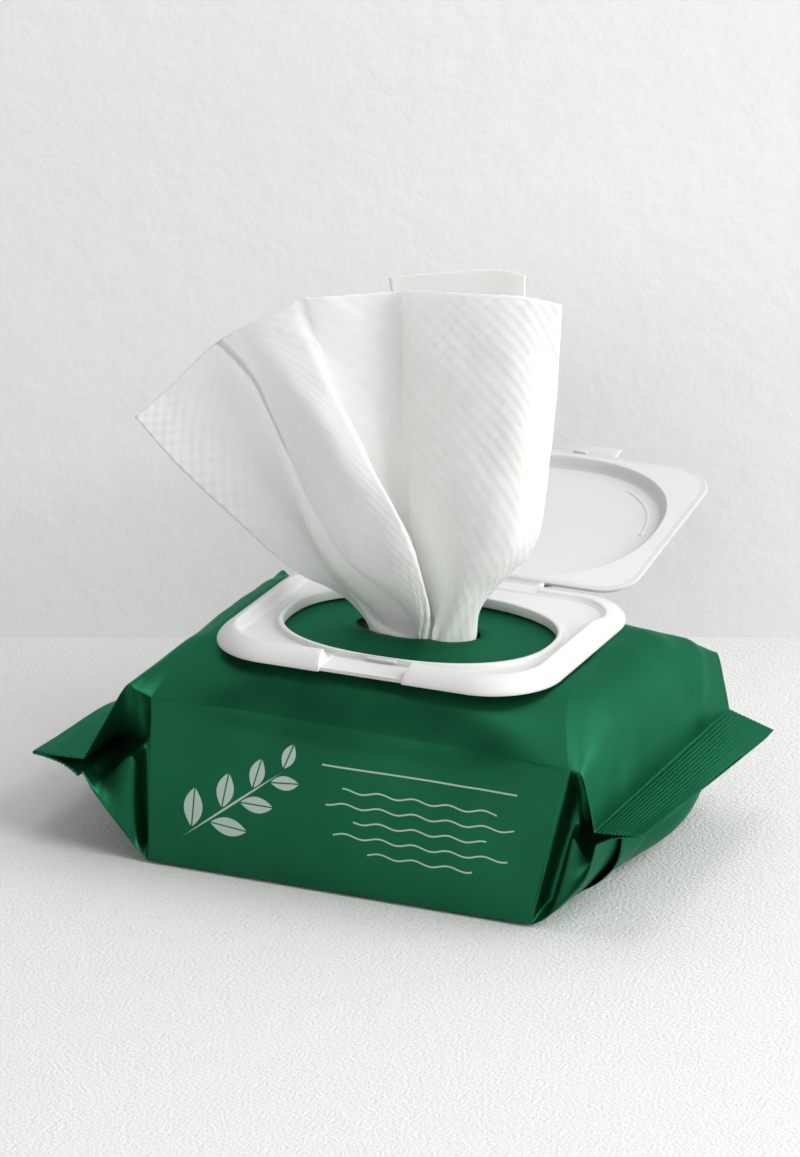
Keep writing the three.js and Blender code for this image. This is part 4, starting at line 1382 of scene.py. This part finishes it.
@dataclass
class PulledWipe:
    """The wipe that stands pulled up through the slot, gathered at its neck.

    The front folds run from its left edge to its right edge, and the rear ones back again.
    """

    flat: Pair = (0.18, 0.20)
    cloth: float = 0.42
    neck_z: float = 53.9
    step: float = 0.72
    emboss: float = 0.15
    pitch: float = 3.3
    camera: PhotoCamera = PhotoCamera()
    front: tuple[FoldLine, ...] = (
        FoldLine((-13.3, 1.2), ((346, 597), (300, 574), (235, 519), (180, 467), (135, 417)),
                 (4, 3, 0, -2, -4)),
        FoldLine((-9.5, -4), ((356, 600), (318, 562), (262, 490), (208, 432), (165, 391)),
                 (0, 2, 2, 1, 0)),
        FoldLine((0.5, -5.9), ((372, 606), (322, 550), (288, 475), (247, 393), (203, 353)),
                 (3, 7, 7, 4, 1)),
        FoldLine((4, -1.5), ((398, 600), (350, 552), (299, 475), (256, 387), (217, 342)),
                 (3, 4, 3.5, 1.5, 0)),
        FoldLine((4.6, -6.2), ((400, 603), (338, 549), (299, 468), (262, 378), (230, 334)),
                 (-8, -8, -4, -1, -1)),
        FoldLine((5.6, -6.5), ((416, 602), (366, 525), (325, 440), (280, 370), (245, 326)),
                 (-10, -12, -10, -6, -3)),
        FoldLine((6.3, -6.4), ((424, 601), (398, 530), (357, 452), (318, 378), (284, 308)),
                 (-10, -12, -10, -6, -3)),
        FoldLine((6.9, -5.8), ((427, 601), (405, 530), (366, 455), (330, 378), (299, 299)),
                 (-8.5, -10, -8, -4, -1.5)),
        FoldLine((6, 0.4), ((424, 603), (400, 534), (364, 463), (339, 383), (319, 297)),
                 (3, 1, -1.5, -1.5, -1.2)),
        FoldLine((7.4, 2.8), ((430, 600), (412, 530), (404, 448), (402, 372), (400, 291)),
                 (6, 6, 6, 6, 5)),
        FoldLine((8.4, -4.4), ((434, 600), (420, 530), (411, 450), (409, 370), (407, 290)),
                 (1, 0, -0.5, 0, 1)),
        FoldLine((11.6, -5), ((458, 600), (470, 530), (478, 450), (480, 370), (478, 294)),
                 (-5, -6, -5, -4, -2)),
        FoldLine((16.6, -3.4), ((478, 596), (510, 545), (520, 460), (522, 375), (522, 297)),
                 (-3, -5, -4, -3, -1)),
        FoldLine((19.3, 1.4), ((485, 600), (531, 553), (545, 500), (556, 400), (562, 305)),
                 (2.5, 3, 3, 3, 3)),
    )
    rear: tuple[FoldLine, ...] = (
        FoldLine((16.5, 3.2), ((484, 600), (516, 548), (522, 490), (524, 395), (524, 276)),
                 (6, 9, 9, 9, 9)),
        FoldLine((13, 6), ((474, 596), (500, 520), (508, 430), (506, 340), (502, 270)),
                 (10, 14, 14, 14, 13)),
        FoldLine((8.5, 7), ((458, 596), (462, 520), (466, 430), (460, 340), (455, 271)),
                 (11, 15, 15, 14, 13)),
        FoldLine((3.8, 6.4), ((440, 596), (428, 520), (415, 430), (400, 340), (389, 278)),
                 (9, 12, 12, 12, 12)),
    )
    film_z: float = 60.3
    seam: int = 3
    overlap: float = 0.035

    def _lines(self, folds: Iterable[FoldLine]) -> np.ndarray:
        """Lead each fold down through the slot to the neck on the stack."""
        lines = []
        for fold in folds:
            x, y = fold.foot
            neck = (0.92 * x, 0.85 * y + 0.3, self.neck_z)
            lines.append([neck, (x, y, self.film_z), *fold.points(self.camera)])
        return np.array(lines, float)

    def _skin(self, lines: np.ndarray, first: float, last: float) -> tuple[np.ndarray, np.ndarray]:
        """Stretch cloth over fold lines.

        Args:
            lines: Fold lines x points x 3.
            first: Where the cloth starts, as a share of the lines.
            last: Where it ends.

        Returns:
            The grid of points, from the neck upwards, and their places on the flat cloth.
        """
        up, height = even_places(lines[len(lines) // 2], self.step)
        smooth = np.array([[catmull_rom(line, h) for h in up] for line in lines])
        places, width = even_places(smooth[:, int(0.7 * len(up))], self.step)
        kept = (places > first + 1e-3) & (places < last - 1e-3)
        across = np.concatenate([[first], places[kept], [last]])
        u = np.interp(across, places, width)
        grid = np.array([[catmull_rom(smooth[:, i], a) for a in across] for i in range(len(up))])
        return grid, np.stack(np.broadcast_arrays(u[None, :], height[:, None]), -1)

    def _dress(self, grid: np.ndarray, flat: np.ndarray, seed: float) -> np.ndarray:
        """Add the embossed pillows, the small pleats at the neck and a soft unevenness."""
        normals = grid_normals(grid)
        turns = math.pi * math.sqrt(2.0) / self.pitch
        u, v = flat[..., 0] * turns, flat[..., 1] * turns
        shift = Vector((seed, 2 * seed, 0.0))
        worn = 0.7 + 0.8 * soft_noise(grid, 17.0, -shift)
        worn *= 0.3 + 0.7 * smoothstep(np.abs(grid[..., 0] + 25.0), 20.0, 38.0)
        lift = self.emboss * np.cos(u) * np.cos(v) * np.clip(worn, 0.1, 1.2)
        slow, small = soft_noise(grid, 13.0, shift), soft_noise(grid, 5.0, shift)
        up = flat[..., 1] / np.max(flat[..., 1])
        lift += (0.8 * slow + 0.28 * small) * smoothstep(up, 0.04, 0.3)
        pleat = 0.5 * np.sin(flat[..., 0] * 0.36 + 2.0 * seed) * np.exp(-(((up - 0.09) / 0.09) ** 2))
        lift += pleat * smoothstep(up, 0.0, 0.06)
        edge = 0.1 * smoothstep(up, 0.985, 1.0) * (np.sin(flat[..., 0] * 3.1) + np.sin(flat[..., 0] * 1.3))
        dressed = grid + normals * lift[..., None]
        dressed[..., 2] += edge
        return dressed

    def _tucked(self, stack: "WipeStack") -> tuple[np.ndarray, np.ndarray]:
        """Draw the part that still lies folded on top of the stack."""
        level = stack.levels - 0.05
        y = np.linspace(6 - stack.half_y, stack.half_y - 6, 15)
        path = [(float(t), stack.height(level, float(t)) + 0.25) for t in y]
        return stack.double_leaf(np.array(path), stack.half_x - 8)

    def build(self, stack: "WipeStack", cloth: bpy.types.Material) -> list[bpy.types.Object]:
        """Make the wipe in two panels that meet behind a fold.

        Args:
            stack: The stack that it is pulled from.
            cloth: The cloth's material.

        Returns:
            The main panel and the left panel.
        """
        front, rear = self._lines(self.front), self._lines(self.rear)
        seam = self.seam / (len(front) - 1)
        skins = [(self._skin(front, seam, 1.0), 1.0), (self._skin(rear, 0.0, 1.0), 5.0)]
        parts = [(self._dress(grid, flat, seed), flat) for (grid, flat), seed in skins]
        main = self._panel("pulled_wipe", [*parts, self._tucked(stack)], cloth)
        grid, flat = self._skin(front, 0.0, seam + self.overlap)
        left = self._panel("pulled_wipe_left_panel", [(self._dress(grid, flat, 1.0), flat)], cloth)
        for piece in (main, left):
            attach(piece, Body.PACK.value)
        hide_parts("wipe_pulled")
        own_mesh(main)
        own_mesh(left)
        return [main, left]

    def _panel(self, name: str, parts: list[tuple[np.ndarray, np.ndarray]],
               cloth: bpy.types.Material) -> bpy.types.Object:
        """Make one piece from grids of cloth, with its thickness."""
        points, flats, faces, start = [], [], [], 0
        for grid, flat in parts:
            points.append(grid.reshape(-1, 3))
            flats.append(flat.reshape(-1, 2))
            faces.append(grid_faces(*grid.shape[:2]) + start)
            start += grid.shape[0] * grid.shape[1]
        piece = mesh_object(name, np.concatenate(points), np.concatenate(faces))
        add_sheet_map(piece, np.concatenate(flats))
        thicken(piece, self.cloth, 0.0)
        piece.data.materials.append(cloth)
        return piece


@dataclass
class WipeStack:
    """The interfolded wipes inside, each folded once lengthwise and once round its neighbours."""

    count: int = 24
    pitch: float = 0.93
    half_x: float = 52.0
    half_y: float = 46.0
    bottom: float = 1.6
    crown: float = 5.5
    layer: float = 0.2
    gap: float = 0.07

    @property
    def levels(self) -> int:
        """Number of levels, two for each wipe and two over."""
        return 2 * self.count + 2

    def height(self, level: float, y: float) -> float:
        """Find the height of a level, fuller in the middle of the stack."""
        swell = self.crown * (level / self.levels) * math.cos(math.pi * y / 100)
        return self.bottom + level * self.pitch + swell

    def double_leaf(self, path: np.ndarray, half_x: float) -> tuple[np.ndarray, np.ndarray]:
        """Draw two layers of cloth along a path, folded at the right.

        Args:
            path: Points of the path as y and z.
            half_x: Half the width of the folded cloth.

        Returns:
            The grid of points and their places on the flat cloth.
        """
        run = np.gradient(path, axis=0)
        run /= np.linalg.norm(run, axis=1, keepdims=True)
        normal = np.stack([-run[:, 1], run[:, 0]], 1)
        half = (self.layer + self.gap) / 2
        x = np.linspace(-half_x, half_x - 0.3, 8)
        across = [(v, -half) for v in x] + [(half_x, 0.0)] + [(v, half) for v in x[::-1]]
        grid = np.array([
            [(u, y + n[0] * w, z + n[1] * w) for u, w in across] for (y, z), n in zip(path, normal)
        ])
        along = np.concatenate([[0.0], np.cumsum(np.linalg.norm(np.diff(path, axis=0), axis=1))])
        flat_u = np.concatenate([x, [half_x], 2 * half_x - x[::-1]])
        flat = np.stack(np.broadcast_arrays(flat_u[None, :], along[:, None]), -1)
        return grid, flat

    def _path(self, number: int) -> np.ndarray:
        """Draw one wipe's path: along a low leaf, round its fold and back along a high leaf."""
        low = 2 * (self.count - number)
        side = -1 if (low // 2) % 2 == 0 else 1
        fold = side * self.half_y
        lift = 0.31
        y_low = np.linspace(-fold * 0.98, fold - side * 1.6, 12)
        lower = [(y, self.height(low, y) + lift) for y in y_low]
        upper = [(y, self.height(low + 3, y) + lift) for y in y_low[::-1]]
        z0, z1 = lower[-1][1], upper[0][1]
        bend = [(fold - side * (1.6 - 1.4 * math.sin(a)), (z0 + z1) / 2 - (z1 - z0) / 2 * math.cos(a))
                for a in (math.pi / 4, math.pi / 2, 3 * math.pi / 4)]
        return np.array(lower + bend + upper)

    def build(self, cloth: bpy.types.Material) -> list[bpy.types.Object]:
        """Make every wipe of the stack."""
        pieces = []
        for number in range(1, self.count + 1):
            grid, flat = self.double_leaf(self._path(number), self.half_x)
            piece = mesh_object(f"stacked_wipe_{number:02d}", grid, grid_faces(*grid.shape[:2]))
            add_sheet_map(piece, flat.reshape(-1, 2))
            thicken(piece, self.layer, 0.0)
            piece.data.materials.append(cloth)
            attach(piece, Body.PACK.value)
            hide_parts(f"wipe_{number:02d}")
            pieces.append(piece)
        return pieces


# Studio


@dataclass
class Studio:
    """Pale table and wall, soft lights and the camera."""

    camera: PhotoCamera = PhotoCamera()
    wall_behind: float = 154.0

    def _facing(self) -> Vector:
        """Find the level direction that the camera looks along."""
        a = math.radians(self.camera.azimuth)
        return Vector((-math.sin(a), math.cos(a), 0.0))

    def _surface(self, name: str, colour: Colour, scale: float, depth: float,
                 one_sided: bool) -> bpy.types.Material:
        """Build a pale, slightly rough material for the table or the wall."""
        material, pen, shader = new_material(name, {"Roughness": 0.85, "Specular IOR Level": 0.2})
        place = pen.add("TexCoord").outputs["Object"]
        patches = pen.add("TexNoise", {"Vector": place, "Scale": 9.0, "Detail": 3.0})
        pale = pen.mix(patches.outputs[0], rgba(colour, 0.97), rgba(colour))
        pen.put(shader.inputs["Base Color"], pale)
        rough = pen.add("TexNoise", {"Vector": place, "Scale": scale, "Detail": 4.0, "Roughness": 0.6})
        pen.put(shader.inputs["Normal"], pen.bump(rough.outputs[0], 0.6, depth * MM))
        if one_sided:
            clear = pen.add("BsdfTransparent")
            blend = pen.add("MixShader", {0: pen.add("NewGeometry").outputs["Backfacing"],
                                          1: shader.outputs[0], 2: clear.outputs[0]})
            pen.put(material.node_tree.nodes["Material Output"].inputs["Surface"], blend.outputs[0])
        return material

    def build(self) -> None:
        """Set up the table, wall, lights, world and camera."""
        facing = self._facing()
        middle = Vector((self.camera.target[0], self.camera.target[1], 0.0)) * MM
        foot = middle + facing * self.wall_behind * MM
        deselect_all()
        bpy.ops.mesh.primitive_plane_add(size=6.0)
        table = bpy.context.object
        table.name = "table"
        table.data.materials.append(self._surface("pale_table", (0.67, 0.67, 0.665), 900.0, 1.1, False))
        deselect_all()
        upright = (math.radians(90), 0.0, math.radians(self.camera.azimuth))
        bpy.ops.mesh.primitive_plane_add(size=6.0, location=foot, rotation=upright)
        wall = bpy.context.object
        wall.name = "wall"
        wall.data.materials.append(self._surface("pale_wall", (0.70, 0.70, 0.705), 90.0, 0.6, True))
        self._lights()
        self._camera()
        scene = bpy.context.scene
        scene.view_settings.view_transform = "Standard"

    def _lights(self) -> None:
        """Hang a large soft light at the right, two fills and a small light right above."""
        lamps = (
            ("key", (1.6, 0.0, 1.0), (0.0, 0.0, 0.06), 1.6, 47.0),
            ("front_fill", (0.1, -1.8, 0.9), (0.0, 0.0, 0.06), 1.2, 9.5),
            ("corner_fill", (1.0, -0.7, 1.3), (0.0, 0.0, 0.06), 1.2, 6.0),
            ("top", (0.10, -0.08, 1.15), (0.0, 0.0, 0.05), 0.4, 2.2),
        )
        for name, place, aim, size, power in lamps:
            lamp = bpy.data.lights.new(name, "AREA")
            lamp.shape = "SQUARE"
            lamp.size = size
            lamp.energy = power
            holder = bpy.data.objects.new(name, lamp)
            holder.location = place
            holder.rotation_euler = (Vector(aim) - Vector(place)).to_track_quat("-Z", "Y").to_euler()
            bpy.context.scene.collection.objects.link(holder)
        world = bpy.data.worlds.new("studio_world")
        world.use_nodes = True
        background = world.node_tree.nodes["Background"]
        background.inputs["Color"].default_value = (0.9, 0.92, 0.93, 1.0)
        background.inputs["Strength"].default_value = 0.10
        bpy.context.scene.world = world

    def _camera(self) -> None:
        """Place the camera at the photograph's angle."""
        back = Vector(self.camera.back)
        data = bpy.data.cameras.new("camera")
        data.sensor_width = self.camera.sensor
        data.lens = self.camera.lens
        data.clip_start, data.clip_end = 0.05, 20.0
        camera = bpy.data.objects.new("camera", data)
        camera.location = (Vector(self.camera.target) + back * self.camera.distance) * MM
        camera.rotation_euler = (-back).to_track_quat("-Z", "Y").to_euler()
        bpy.context.scene.collection.objects.link(camera)
        bpy.context.scene.camera = camera


def report(pieces: Iterable[bpy.types.Object]) -> None:
    """Log the name and size of each piece."""
    for piece in pieces:
        log.info("%s: %d faces", piece.name, len(piece.data.polygons))


def main() -> None:
    """Build every sub-assembly and the studio."""
    logging.basicConfig(level=logging.INFO, format="%(name)s: %(message)s")
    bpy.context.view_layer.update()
    deselect_all()
    shared = SharedEffects()
    plastic = PlasticFinish(shared).material()
    # Lighter copy of the plastic for the flange edge and tab: the lighter base is painted light shining
    # through thin plastic, the part transmission is real.
    thin = PlasticFinish(shared, name="thin_plastic_painted_light", base=(0.68, 0.68, 0.67), clear=0.25).material()
    cloth = ClothFinish(shared).material()
    mouth = Mouth()
    report(FilmPouch().build(FilmFinish(shared)))
    report([FlipTopFrame(mouth).build(plastic), FlipLid().build(plastic, thin), HingeWeb().build(plastic)])
    stack = WipeStack()
    report(stack.build(cloth))
    report(PulledWipe().build(stack, cloth))
    Studio().build()
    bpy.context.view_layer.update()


if __name__ == "__main__":
    main()
